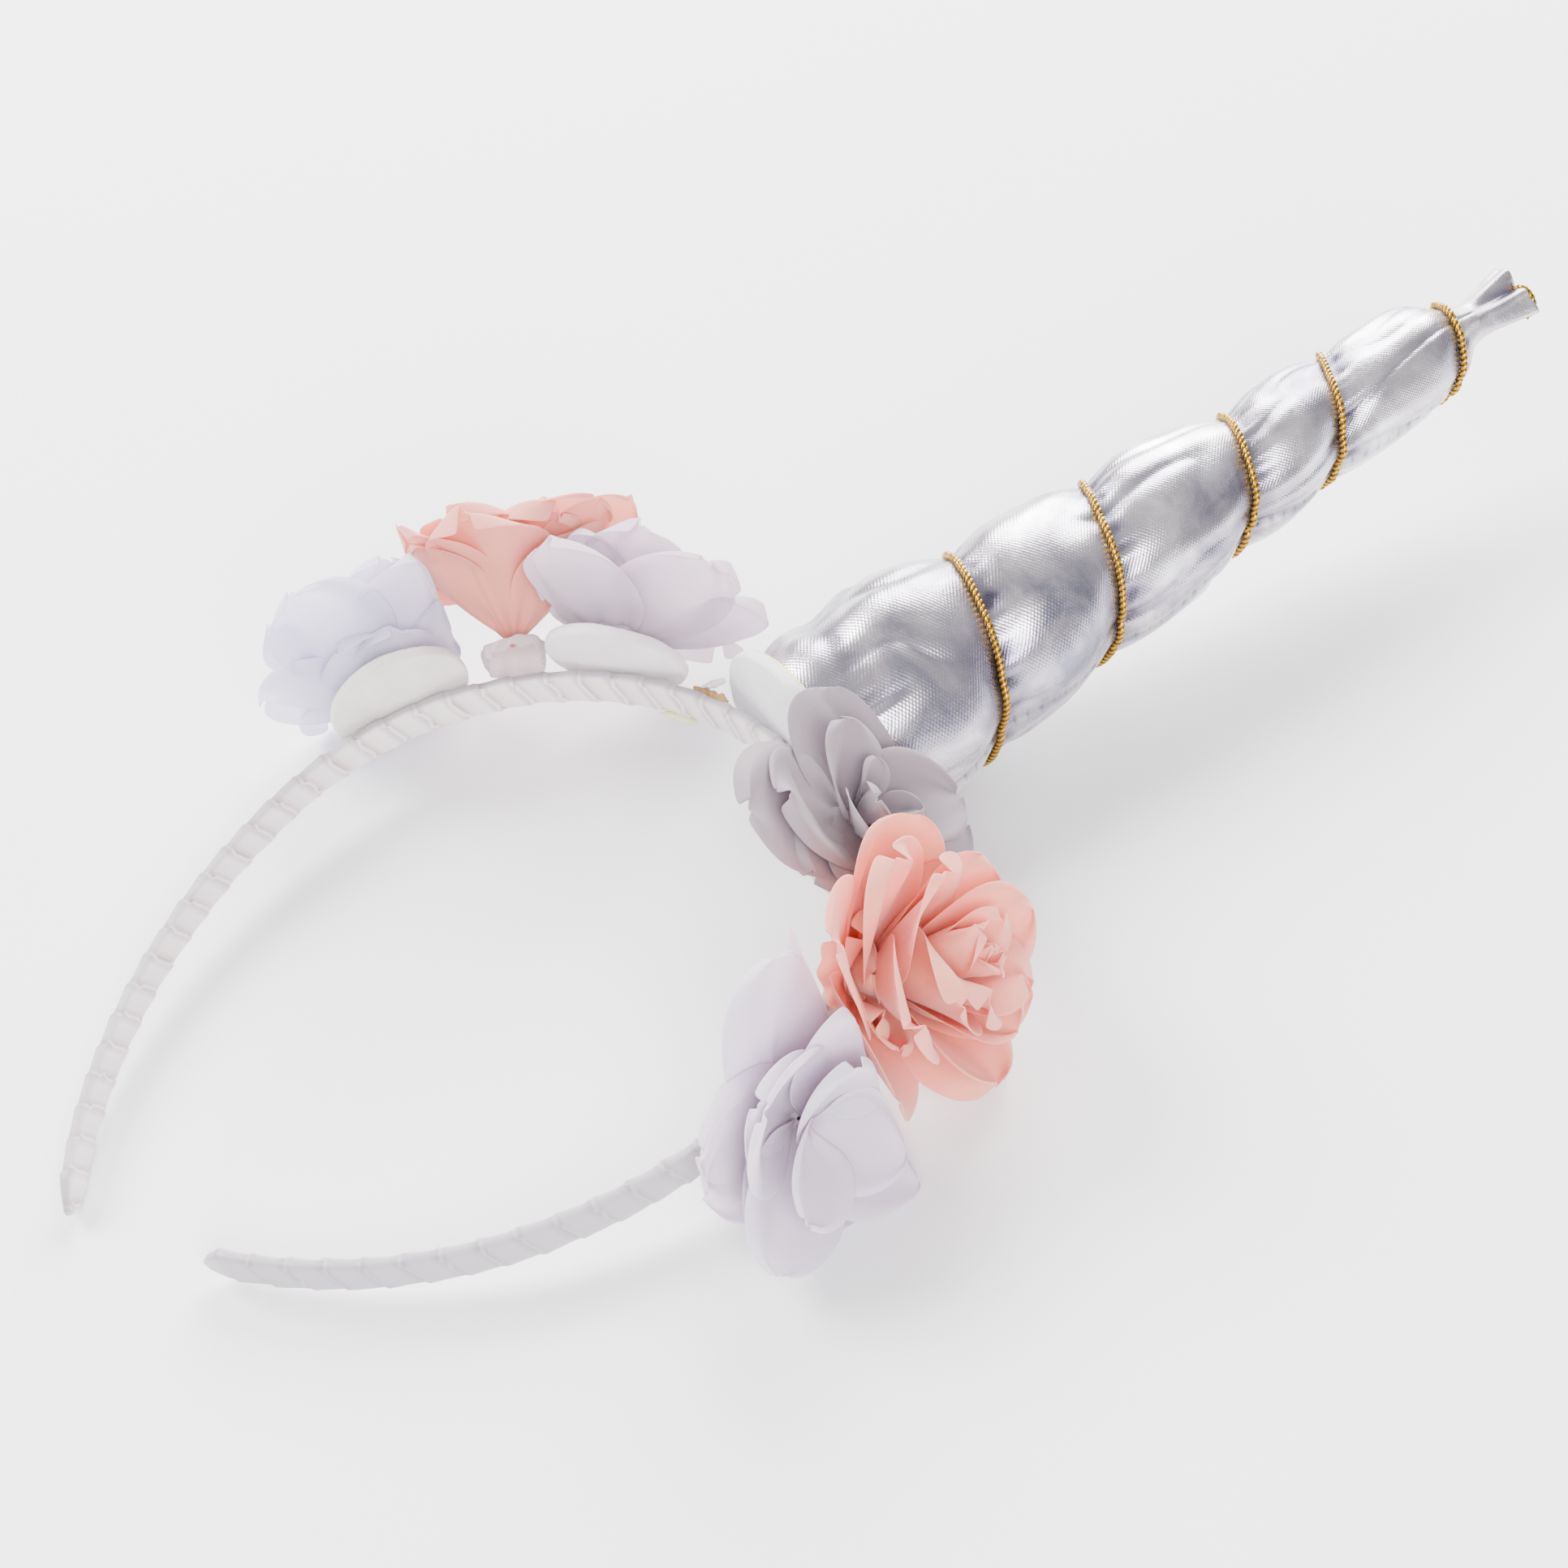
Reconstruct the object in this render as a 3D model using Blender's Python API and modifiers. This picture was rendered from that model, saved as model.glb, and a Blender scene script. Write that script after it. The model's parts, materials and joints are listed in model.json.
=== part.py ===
"""A unicorn horn headband: a ribbon-wound band, a stuffed silver horn, felt pads and six chiffon flowers.

The model is worked out in the head's own frame and then laid on its side, as it rests on a table.
In the head's frame X runs from ear to ear, Z up through the crown, and -Y is the side that ends on top.
"""
import math

import bmesh
import bpy
import numpy as np
from mathutils import Matrix, Vector

COLLECTION = "unicorn_horn_headband"
GAP = 0.0003

# Headband, a flat strip bent to a crown arc and two arms that curl in
CROWN_RADIUS = 0.0561
CROWN_HALF_ANGLE = math.radians(95)
BAND_WIDTH = 0.0068
BAND_THICKNESS = 0.0024
BAND_ROUNDING = 0.0006
BAND_STEP = 0.0064
END_THICKNESS_SHARE = 0.55
ARMS = {
    -1: {"bow_radius": 0.1151, "end_angle": math.radians(139.9)},
    1: {"bow_radius": 0.0838, "end_angle": math.radians(154.1)},
}
END_ROUNDING = (
    {"back": 0.0, "share": 0.45},
    {"back": 0.0006, "share": 0.75},
    {"back": 0.0018, "share": 0.94},
    {"back": 0.0034, "share": 1.0},
)

# Horn, a stuffed cone that a spiral cord draws in
HORN_SEAT_ANGLE = math.radians(9.0)
HORN_SIDES = 20
HORN_STEP = 0.0034
TIP_ROWS = 5
HORN_WALL = 0.0026
HORN_HOLLOW_DEPTH = 0.138
HORN_HOLLOW_STEPS = 8
GROOVE_DEPTH = 0.0016
GROOVE_REACH = 0.0036
GROOVE_FULL_RADIUS = 0.008
HORN_PROFILE = (
    {"along": 0.000, "radius": 0.0172},
    {"along": 0.006, "radius": 0.0183},
    {"along": 0.012, "radius": 0.0194},
    {"along": 0.018, "radius": 0.0202},
    {"along": 0.023, "radius": 0.0203},
    {"along": 0.029, "radius": 0.0194},
    {"along": 0.047, "radius": 0.0174},
    {"along": 0.078, "radius": 0.0146},
    {"along": 0.105, "radius": 0.0128},
    {"along": 0.131, "radius": 0.0108},
    {"along": 0.1462, "radius": 0.0086},
    {"along": 0.1505, "radius": 0.0048},
    {"along": 0.1535, "radius": 0.0037},
    {"along": 0.1575, "radius": 0.0040},
    {"along": 0.1625, "radius": 0.0046},
)
TUFT_START = 0.1535
TUFT_FOLDS = 5
TUFT_FOLD_DEPTH = 0.0009

# Cord, wound round the horn: where each turn passes the side that faces up
CORD_RADIUS = 0.0007
CORD_CLEARANCE = 0.00045
CORD_TURNS = (0.0055, 0.0337, 0.0617, 0.0944, 0.1162, 0.1462)
CORD_FIRST_TURN = 0.55
CORD_LAST_TURN = 5.15
LAST_PITCH_SHARE = 0.5
CORD_FACING_ANGLE = math.radians(-50)

# Felt disc under the horn and felt pads under four of the flowers
DISC_RADIUS = 0.0205
DISC_THICKNESS = 0.0022
DISC_LIFT = 0.0003
PAD_RADIUS = 0.0130
PAD_THICKNESS = 0.0022
ROUND_SIDES = 28

# Chiffon flowers: place on the band, lean and bloom size
PETAL_THICKNESS = 0.0014
PETAL_ACROSS = 3
PETAL_ALONG = {"broad": 3, "rose": 2}
PETAL_NARROWING = 0.35
PETAL_RIM_ROUNDING = 0.22
ROOT_SHARE = 0.45
CORE_SIDES = 12
CORE_SECTIONS = (
    {"rise": 0.00, "share": 0.92},
    {"rise": 0.25, "share": 1.00},
    {"rise": 0.60, "share": 0.86},
    {"rise": 0.90, "share": 0.52},
    {"rise": 1.00, "share": 0.20},
)
FLOWERS = (
    {"name": "flower_far_lilac", "arc": -30, "lean": 20, "shift": 0.0055, "padded": True,
     "core": 0.0080, "rise": 0.0070, "layers": "broad", "reach": 0.0256, "turn": 20},
    {"name": "flower_far_pink", "arc": -48.5, "lean": 28, "shift": 0.0045, "padded": False,
     "core": 0.0080, "rise": 0.0140, "layers": "rose", "reach": 0.0250, "turn": 50},
    {"name": "flower_far_white", "arc": -70, "lean": 12, "shift": 0.0040, "padded": True,
     "core": 0.0080, "rise": 0.0070, "layers": "broad", "reach": 0.0240, "turn": 18},
    {"name": "flower_near_grey", "arc": 36.5, "lean": 38, "shift": 0.0080, "padded": True,
     "core": 0.0080, "rise": 0.0070, "layers": "broad", "reach": 0.0220, "turn": 40},
    {"name": "flower_near_peach", "arc": 61.5, "lean": 25, "shift": 0.0030, "padded": False,
     "core": 0.0085, "rise": 0.0150, "layers": "rose", "reach": 0.0255, "turn": 10},
    {"name": "flower_near_white", "arc": 86, "lean": 15, "shift": 0.0010, "padded": True,
     "core": 0.0080, "rise": 0.0070, "layers": "broad", "reach": 0.0240, "turn": 65},
)
LAYERS = {
    "broad": (
        {"petals": 5, "span": 88, "share": 1.00, "root": 14, "tip": 34, "from": 0.10},
        {"petals": 3, "span": 110, "share": 0.62, "root": 40, "tip": 62, "from": 0.45},
    ),
    "rose": (
        {"petals": 5, "span": 88, "share": 1.00, "root": 24, "tip": 46, "from": 0.10},
        {"petals": 4, "span": 100, "share": 0.80, "root": 52, "tip": 66, "from": 0.35},
        {"petals": 3, "span": 120, "share": 0.60, "root": 74, "tip": 84, "from": 0.60},
    ),
}
RUFFLE = 0.0016

# Planes that part neighbouring flowers: place on the band and how far the plane leans to +arc
PARTINGS = (
    {"low": "flower_far_white", "high": "flower_far_pink", "arc": -55.6, "lean": -24},
    {"low": "flower_far_pink", "high": "flower_far_lilac", "arc": -44.6, "lean": 42},
    {"low": "flower_near_grey", "high": "flower_near_peach", "arc": 50.4, "lean": -34},
    {"low": "flower_near_peach", "high": "flower_near_white", "arc": 71.8, "lean": 30},
)
PARTING_HEIGHT = 0.0025
CUTTER_SIZE = 0.24
HORN_CUTTER_MARGIN = 0.0008
HORN_CLEARANCE = (
    {"along": 0.0000, "radius": DISC_RADIUS},
    {"along": DISC_THICKNESS, "radius": DISC_RADIUS},
    {"along": 0.0200, "radius": 0.0203},
    {"along": 0.0500, "radius": 0.0176},
    {"along": 0.0800, "radius": 0.0150},
)

# Lying pose: the band's plane leans by this much when the arm ends and the horn's belly touch the table
LYING_TILT = math.radians(6.1)
TABLE_CLEARANCE = 0.0001


def clear_scene():
    for item in list(bpy.data.objects):
        bpy.data.objects.remove(item, do_unlink=True)


def new_collection(name):
    made = bpy.data.collections.new(name)
    bpy.context.scene.collection.children.link(made)
    return made


def material(name, colour, roughness, metallic=0.0):
    made = bpy.data.materials.new(name)
    made.use_nodes = True
    shader = made.node_tree.nodes["Principled BSDF"]
    shader.inputs["Base Color"].default_value = (*colour, 1.0)
    shader.inputs["Roughness"].default_value = roughness
    shader.inputs["Metallic"].default_value = metallic
    return made


def place(name, mesh, collection, parent, look=None):
    made = bpy.data.objects.new(name, mesh)
    collection.objects.link(made)
    made.parent = parent
    if look:
        mesh.materials.clear()
        mesh.materials.append(look)
    return made


def mesh_from(bm, name):
    bm.normal_update()
    bmesh.ops.recalc_face_normals(bm, faces=bm.faces)
    mesh = bpy.data.meshes.new(name)
    bm.to_mesh(mesh)
    bm.free()
    return mesh


def evaluated_mesh(item):
    graph = bpy.context.evaluated_depsgraph_get()
    return bpy.data.meshes.new_from_object(item.evaluated_get(graph))


def loft(rings, name):
    """A closed solid through rings of equally many points, with flat ends."""
    bm = bmesh.new()
    rows = [[bm.verts.new(point) for point in ring] for ring in rings]
    count = len(rows[0])
    for low, high in zip(rows, rows[1:]):
        for j in range(count):
            after = (j + 1) % count
            bm.faces.new((low[j], low[after], high[after], high[j]))
    bm.faces.new(rows[0])
    bm.faces.new(rows[-1])
    return mesh_from(bm, name)


def spline_value(table, key, x):
    """A smooth value between the rows of a table."""
    xs = [row["along"] for row in table]
    ys = [row[key] for row in table]
    slopes = np.gradient(ys, xs)
    i = int(np.clip(np.searchsorted(xs, x) - 1, 0, len(xs) - 2))
    width = xs[i + 1] - xs[i]
    t = min(1.0, max(0.0, (x - xs[i]) / width))
    return (
        ys[i] * (1 + 2 * t) * (1 - t) ** 2
        + ys[i + 1] * t * t * (3 - 2 * t)
        + width * t * (1 - t) * (slopes[i] * (1 - t) - slopes[i + 1] * t)
    )


def arm_length(side):
    arm = ARMS[side]
    return CROWN_RADIUS * CROWN_HALF_ANGLE + arm["bow_radius"] * (arm["end_angle"] - CROWN_HALF_ANGLE)


def band_frame(length):
    """Centre point and outward normal at a signed length along the band from the crown."""
    side = 1 if length >= 0 else -1
    along = abs(length)
    crown_length = CROWN_RADIUS * CROWN_HALF_ANGLE
    if along <= crown_length:
        angle = along / CROWN_RADIUS
        radius = CROWN_RADIUS
    else:
        radius = ARMS[side]["bow_radius"]
        angle = CROWN_HALF_ANGLE + (along - crown_length) / radius
    back = radius - CROWN_RADIUS
    centre_x = -side * back * math.sin(CROWN_HALF_ANGLE)
    centre_z = -CROWN_RADIUS - back * math.cos(CROWN_HALF_ANGLE)
    normal = Vector((side * math.sin(angle), 0, math.cos(angle)))
    return Vector((centre_x, 0, centre_z)) + radius * normal, normal


def band_ring(length, share):
    """Section of the strip: a rectangle with rounded corners."""
    point, normal = band_frame(length)
    half_width = BAND_WIDTH / 2 * share
    half_thick = BAND_THICKNESS / 2 * (END_THICKNESS_SHARE + (1 - END_THICKNESS_SHARE) * share)
    cut = min(BAND_ROUNDING, half_thick * 0.6)
    corners = (
        (half_width - cut, half_thick), (half_width, half_thick - cut),
        (half_width, -half_thick + cut), (half_width - cut, -half_thick),
        (-half_width + cut, -half_thick), (-half_width, -half_thick + cut),
        (-half_width, half_thick - cut), (-half_width + cut, half_thick),
    )
    return [point + Vector((0, y, 0)) + normal * out for y, out in corners]


def headband(collection, parent):
    low, high = -arm_length(-1), arm_length(1)
    margin = END_ROUNDING[-1]["back"]
    steps = int((high - low - 2 * margin) / BAND_STEP)
    stations = [(low + row["back"], row["share"]) for row in END_ROUNDING]
    inner = np.linspace(low + margin, high - margin, steps + 1)[1:-1]
    stations += [(length, 1.0) for length in inner]
    stations += [(high - row["back"], row["share"]) for row in reversed(END_ROUNDING)]
    mesh = loft([band_ring(*station) for station in stations], "headband")
    look = material("ribbon", (0.86, 0.80, 0.82), 0.42)
    return place("headband", mesh, collection, parent, look)


def horn_frame():
    """Base centre of the horn and its three axes: two across and one along."""
    along = Vector((math.sin(HORN_SEAT_ANGLE), 0, math.cos(HORN_SEAT_ANGLE)))
    crown = Vector((0, 0, -CROWN_RADIUS)) + along * (CROWN_RADIUS + BAND_THICKNESS / 2)
    seat = crown + along * DISC_LIFT
    side = Vector((0, 1, 0)).cross(along)
    return seat, side, Vector((0, 1, 0)), along


def turn_place(turn):
    """Distance along the horn where the cord has made that many turns."""
    table = [{"along": i, "distance": distance} for i, distance in enumerate(CORD_TURNS)]
    last = len(CORD_TURNS) - 1
    if turn > last:
        pitch = (CORD_TURNS[-1] - CORD_TURNS[-2]) * LAST_PITCH_SHARE
        return CORD_TURNS[-1] + (turn - last) * pitch
    return spline_value(table, "distance", max(0.0, turn))


def horn_radius(distance, angle):
    radius = spline_value(HORN_PROFILE, "radius", distance)
    if distance > TUFT_START:
        rise = (distance - TUFT_START) / (HORN_PROFILE[-1]["along"] - TUFT_START)
        return radius + rise * TUFT_FOLD_DEPTH * math.cos(TUFT_FOLDS * angle)
    share = ((CORD_FACING_ANGLE - angle) / math.tau) % 1.0
    near = min(abs(distance - turn_place(k + share)) for k in range(len(CORD_TURNS)))
    slim = min(1.0, radius / GROOVE_FULL_RADIUS)
    return radius - GROOVE_DEPTH * math.exp(-((near / GROOVE_REACH) ** 4)) * slim


def horn_point(distance, angle, out=0.0):
    seat, side, down, along = horn_frame()
    radius = horn_radius(distance, angle) + out
    start = seat + along * (DISC_THICKNESS + GAP)
    return start + along * distance + (side * math.cos(angle) + down * math.sin(angle)) * radius


def horn_hollow_point(distance, angle):
    """Inner face of the fabric skin, which skips the grooves."""
    plain = spline_value(HORN_PROFILE, "radius", distance)
    return horn_point(distance, angle, plain - horn_radius(distance, angle) - HORN_WALL)


def horn(collection, parent):
    """A fabric skin, open at its foot and closed by the tuft."""
    tip = [row["along"] for row in HORN_PROFILE[-TIP_ROWS:]]
    distances = [*np.arange(0, tip[0], HORN_STEP), *tip]
    angles = [CORD_FACING_ANGLE + math.tau * j / HORN_SIDES for j in range(HORN_SIDES)]
    outside = [[horn_point(d, a) for a in angles] for d in distances]
    depths = np.linspace(HORN_HOLLOW_DEPTH, 0, HORN_HOLLOW_STEPS + 1)
    inside = [[horn_hollow_point(d, a) for a in angles] for d in depths]
    mesh = loft(inside + outside, "horn")
    look = material("silver_lame", (0.84, 0.84, 0.88), 0.28, 0.75)
    return place("horn", mesh, collection, parent, look)


def gold_cord(collection, parent):
    """A tube that follows the groove of the horn."""
    steps = round((CORD_LAST_TURN - CORD_FIRST_TURN) * HORN_SIDES)
    curve = bpy.data.curves.new("gold_cord", "CURVE")
    curve.dimensions = "3D"
    curve.bevel_depth = CORD_RADIUS
    curve.bevel_resolution = 2
    curve.use_fill_caps = True
    spline = curve.splines.new("POLY")
    spline.points.add(steps)
    for i in range(steps + 1):
        turn = CORD_FIRST_TURN + (CORD_LAST_TURN - CORD_FIRST_TURN) * i / steps
        angle = CORD_FACING_ANGLE - math.tau * turn
        distance = turn_place(turn)
        rise = horn_radius(distance + CORD_RADIUS, angle) - horn_radius(distance - CORD_RADIUS, angle)
        stretch = math.hypot(1.0, rise / (2 * CORD_RADIUS))
        point = horn_point(distance, angle, (CORD_RADIUS + CORD_CLEARANCE) * stretch)
        spline.points[i].co = (*point, 1.0)
    guide = bpy.data.objects.new("cord_line", curve)
    collection.objects.link(guide)
    mesh = evaluated_mesh(guide)
    bpy.data.objects.remove(guide)
    bm = bmesh.new()
    bm.from_mesh(mesh)
    bmesh.ops.remove_doubles(bm, verts=bm.verts, dist=0.00001)
    mesh = mesh_from(bm, "gold_cord")
    mesh.shade_smooth()
    look = material("gold_twist", (0.72, 0.50, 0.16), 0.35, 0.9)
    return place("gold_cord", mesh, collection, parent, look)


def round_plate(name, centre, axes, radius, thickness):
    """A disc that stands on its lower face."""
    side, up, out = axes
    bm = bmesh.new()
    bmesh.ops.create_cone(
        bm, cap_ends=True, segments=ROUND_SIDES, radius1=radius, radius2=radius, depth=thickness,
        matrix=Matrix.Translation((0, 0, thickness / 2)),
    )
    turn = Matrix((side, up, out)).transposed().to_4x4()
    bm.transform(Matrix.Translation(centre) @ turn)
    return mesh_from(bm, name)


def horn_base_disc(table, collection, parent):
    """The felt disc under the horn, flattened where it meets the table."""
    seat, side, down, along = horn_frame()
    whole = round_plate("disc_blank", seat, (side, down, along), DISC_RADIUS, DISC_THICKNESS)
    blank = place("disc_blank", whole, collection, parent)
    group = boolean(blank, [table], "DIFFERENCE")
    mesh = evaluated_mesh(blank)
    bpy.data.collections.remove(group)
    bpy.data.objects.remove(blank)
    return place("horn_base_disc", mesh, collection, parent, material("felt", (0.93, 0.92, 0.93), 0.95))


def flower_axes(row):
    """Seat of a flower on the band and its axes: along the band, up across it, and out of the bloom."""
    arc = math.radians(row["arc"])
    lean = math.radians(row["lean"])
    normal = Vector((math.sin(arc), 0, math.cos(arc)))
    up = Vector((0, -1, 0))
    out = normal * math.cos(lean) + up * math.sin(lean)
    across = up * math.cos(lean) - normal * math.sin(lean)
    tangent = across.cross(out)
    edge_rise = BAND_WIDTH / 2 * math.sin(lean)
    surface = Vector((0, 0, -CROWN_RADIUS)) + normal * (CROWN_RADIUS + BAND_THICKNESS / 2)
    seat = surface + out * (edge_rise + GAP) + across * row["shift"]
    return seat, (tangent, across, out)


def flower_pad(row, cutters, collection, parent, look):
    """A felt round, trimmed where the horn's disc or the table is in its way."""
    seat, axes = flower_axes(row)
    name = row["name"].replace("flower", "pad")
    blank = place("pad_blank", round_plate(name, seat, axes, PAD_RADIUS, PAD_THICKNESS), collection, parent)
    group = boolean(blank, cutters, "DIFFERENCE")
    mesh = evaluated_mesh(blank)
    bpy.data.collections.remove(group)
    bpy.data.objects.remove(blank)
    return place(name, mesh, collection, parent, look)


def petal_sheet(frame, facing, layer, row):
    """One petal as an open sheet of quads, fanned about the bloom's axis."""
    base, (tangent, across, out) = frame
    half_span = math.radians(layer["span"]) / 2
    reach = row["reach"] * layer["share"]
    height = row["rise"] * layer["from"] + PETAL_THICKNESS * 0.8
    root = row["core"] * ROOT_SHARE
    along = 0.0
    steps = PETAL_ALONG[row["layers"]]
    bm = bmesh.new()
    grid = []
    for i in range(steps + 1):
        v = i / steps
        cup = math.radians(layer["root"] + (layer["tip"] - layer["root"]) * v)
        if i:
            along += reach / steps * math.cos(cup)
            height += reach / steps * math.sin(cup)
        line = []
        for j in range(PETAL_ACROSS + 1):
            u = 2 * j / PETAL_ACROSS - 1
            span = half_span * (1.0 - PETAL_NARROWING * v * v)
            radius = root + along * (1 - PETAL_RIM_ROUNDING * u * u * v)
            angle = facing + u * span
            wave = RUFFLE * v * math.cos(math.pi * 1.5 * u + 3 * facing)
            flat = tangent * math.cos(angle) + across * math.sin(angle)
            line.append(bm.verts.new(base + flat * radius + out * (height + wave)))
        grid.append(line)
    for low, high in zip(grid, grid[1:]):
        for j in range(PETAL_ACROSS):
            bm.faces.new((low[j], low[j + 1], high[j + 1], high[j]))
    return mesh_from(bm, "petal_sheet")


def petal_solids(row, frame, collection, parent):
    """The petals of a flower, each thickened to a thin wall."""
    made = []
    for n, layer in enumerate(LAYERS[row["layers"]]):
        for k in range(layer["petals"]):
            facing = math.radians(row["turn"] + 31 * n) + math.tau * k / layer["petals"]
            sheet = place("petal", petal_sheet(frame, facing, layer, row), collection, parent)
            wall = sheet.modifiers.new("wall", "SOLIDIFY")
            wall.thickness = PETAL_THICKNESS
            wall.offset = 0.0
            made.append(sheet)
    return made


def core_solid(row, frame):
    """The gathered heart that carries the petals: a dome with a flat foot."""
    base, (tangent, across, out) = frame
    rings = []
    for section in CORE_SECTIONS:
        ring = []
        for j in range(CORE_SIDES):
            angle = math.tau * j / CORE_SIDES
            flat = tangent * math.cos(angle) + across * math.sin(angle)
            ring.append(base + flat * row["core"] * section["share"] + out * row["rise"] * section["rise"])
        rings.append(ring)
    return loft(rings, "core")


def half_space(name, point, normal, collection, parent):
    """A large block whose one face passes through the point, on the side that the normal points to."""
    bm = bmesh.new()
    bmesh.ops.create_cube(bm, size=CUTTER_SIZE)
    turn = Vector(normal).to_track_quat("Z", "Y").to_matrix().to_4x4()
    bm.transform(Matrix.Translation(point) @ turn @ Matrix.Translation((0, 0, CUTTER_SIZE / 2)))
    cutter = place(name, mesh_from(bm, name), collection, parent)
    cutter.hide_render = True
    cutter.display_type = "WIRE"
    return cutter


def parting_cutters(collection, parent):
    """Two blocks for each pair of neighbours, one to trim each flower back from the plane between them."""
    found = {row["name"]: [] for row in FLOWERS}
    for n, row in enumerate(PARTINGS):
        arc = math.radians(row["arc"])
        lean = math.radians(row["lean"])
        normal = Vector((math.sin(arc), 0, math.cos(arc)))
        tangent = Vector((math.cos(arc), 0, -math.sin(arc)))
        point = normal * (CROWN_RADIUS + BAND_THICKNESS / 2 + PARTING_HEIGHT) - Vector((0, 0, CROWN_RADIUS))
        towards_high = tangent * math.cos(lean) - normal * math.sin(lean)
        shift = towards_high * GAP * 0.6
        low_cut = half_space(f"part_{n}_low", point - shift, towards_high, collection, parent)
        high_cut = half_space(f"part_{n}_high", point + shift, -towards_high, collection, parent)
        found[row["low"]].append(low_cut)
        found[row["high"]].append(high_cut)
    return found


def horn_cutter(collection, parent):
    """A smooth cone a little larger than the horn and its disc, to keep petals clear of both."""
    seat, side, down, along = horn_frame()
    rings = []
    shifts = (-HORN_CUTTER_MARGIN, HORN_CUTTER_MARGIN, 0, 0, 0)
    for row, shift in zip(HORN_CLEARANCE, shifts):
        centre = seat + along * (row["along"] + shift)
        radius = row["radius"] + HORN_CUTTER_MARGIN
        ring = []
        for j in range(HORN_SIDES):
            angle = CORD_FACING_ANGLE + math.tau * j / HORN_SIDES
            ring.append(centre + (side * math.cos(angle) + down * math.sin(angle)) * radius)
        rings.append(ring)
    cutter = place("horn_clearance", loft(rings, "horn_clearance"), collection, parent)
    cutter.hide_render = True
    cutter.display_type = "WIRE"
    return cutter


def table_direction():
    """The direction that points down to the table."""
    return Vector((0, math.cos(LYING_TILT), -math.sin(LYING_TILT)))


def table_cutter(items, collection, parent):
    """A block under the table's surface, which the given items rest on."""
    down = table_direction()
    reach = max(down.dot(v.co) for item in items for v in item.data.vertices)
    return half_space("table", down * (reach - TABLE_CLEARANCE), down, collection, parent)


def boolean(target, others, operation):
    """One Boolean step of the target with all the others at once."""
    group = bpy.data.collections.new(operation.lower())
    for other in others:
        group.objects.link(other)
    step = target.modifiers.new(operation.lower(), "BOOLEAN")
    step.operation = operation
    step.solver = "EXACT"
    step.operand_type = "COLLECTION"
    step.collection = group
    return group


def keep_largest(mesh):
    """Drops small loose bits that the trimming leaves behind."""
    bm = bmesh.new()
    bm.from_mesh(mesh)
    left = set(bm.verts)
    bodies = []
    while left:
        stack = [left.pop()]
        body = set(stack)
        while stack:
            for edge in stack.pop().link_edges:
                for vert in edge.verts:
                    if vert in left:
                        left.discard(vert)
                        body.add(vert)
                        stack.append(vert)
        bodies.append(body)
    largest = max(bodies, key=len)
    bmesh.ops.delete(bm, geom=[v for v in bm.verts if v not in largest], context="VERTS")
    bmesh.ops.triangulate(bm, faces=bm.faces)
    return mesh_from(bm, mesh.name)


def flower(row, cutters, collection, cutter_collection, parent, look):
    seat, axes = flower_axes(row)
    foot = seat + axes[2] * (PAD_THICKNESS + GAP) if row["padded"] else seat
    frame = (foot, axes)
    core = place("core", core_solid(row, frame), cutter_collection, parent)
    petals = petal_solids(row, frame, cutter_collection, parent)
    groups = [boolean(core, petals, "UNION"), boolean(core, cutters, "DIFFERENCE")]
    mesh = evaluated_mesh(core)
    for group in groups:
        bpy.data.collections.remove(group)
    for item in [core, *petals]:
        bpy.data.objects.remove(item)
    return place(row["name"], keep_largest(mesh), collection, parent, look)


def flower_look(name):
    colours = {
        "lilac": (0.84, 0.78, 0.85), "pink": (0.96, 0.62, 0.58), "white": (0.90, 0.87, 0.96),
        "grey": (0.66, 0.60, 0.65), "peach": (0.95, 0.52, 0.45),
    }
    return material(name, colours[name.rsplit("_", 1)[1]], 0.8)


def lie_down(parent, items):
    """Turns the whole model on its side and stands the lowest point on the plane Z = 0."""
    parent.rotation_euler = (LYING_TILT - math.pi / 2, 0, 0)
    bpy.context.view_layer.update()
    points = np.array([item.matrix_world @ v.co for item in items for v in item.data.vertices])
    low, high = points.min(axis=0), points.max(axis=0)
    middle = (low + high) / 2
    parent.location = (-middle[0], -middle[1], -low[2])


def build():
    clear_scene()
    parts = new_collection(COLLECTION)
    cutter_collection = new_collection("cutters")
    holder = bpy.data.objects.new("lying_frame", None)
    parts.objects.link(holder)
    made = [headband(parts, holder), horn(parts, holder)]
    table = table_cutter(made, cutter_collection, holder)
    made += [horn_base_disc(table, parts, holder), gold_cord(parts, holder)]
    trims = parting_cutters(cutter_collection, holder)
    clearance = horn_cutter(cutter_collection, holder)
    felt = material("pad_felt", (0.94, 0.90, 0.91), 0.95)
    for row in FLOWERS:
        if row["padded"]:
            made.append(flower_pad(row, [clearance, table], parts, holder, felt))
        cutters = [*trims[row["name"]], clearance, table]
        made.append(flower(row, cutters, parts, cutter_collection, holder, flower_look(row["name"])))
    lie_down(holder, made)


build()
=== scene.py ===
import json
import math
import random

import bpy
import numpy as np
from mathutils import Matrix, Vector, noise

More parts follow.
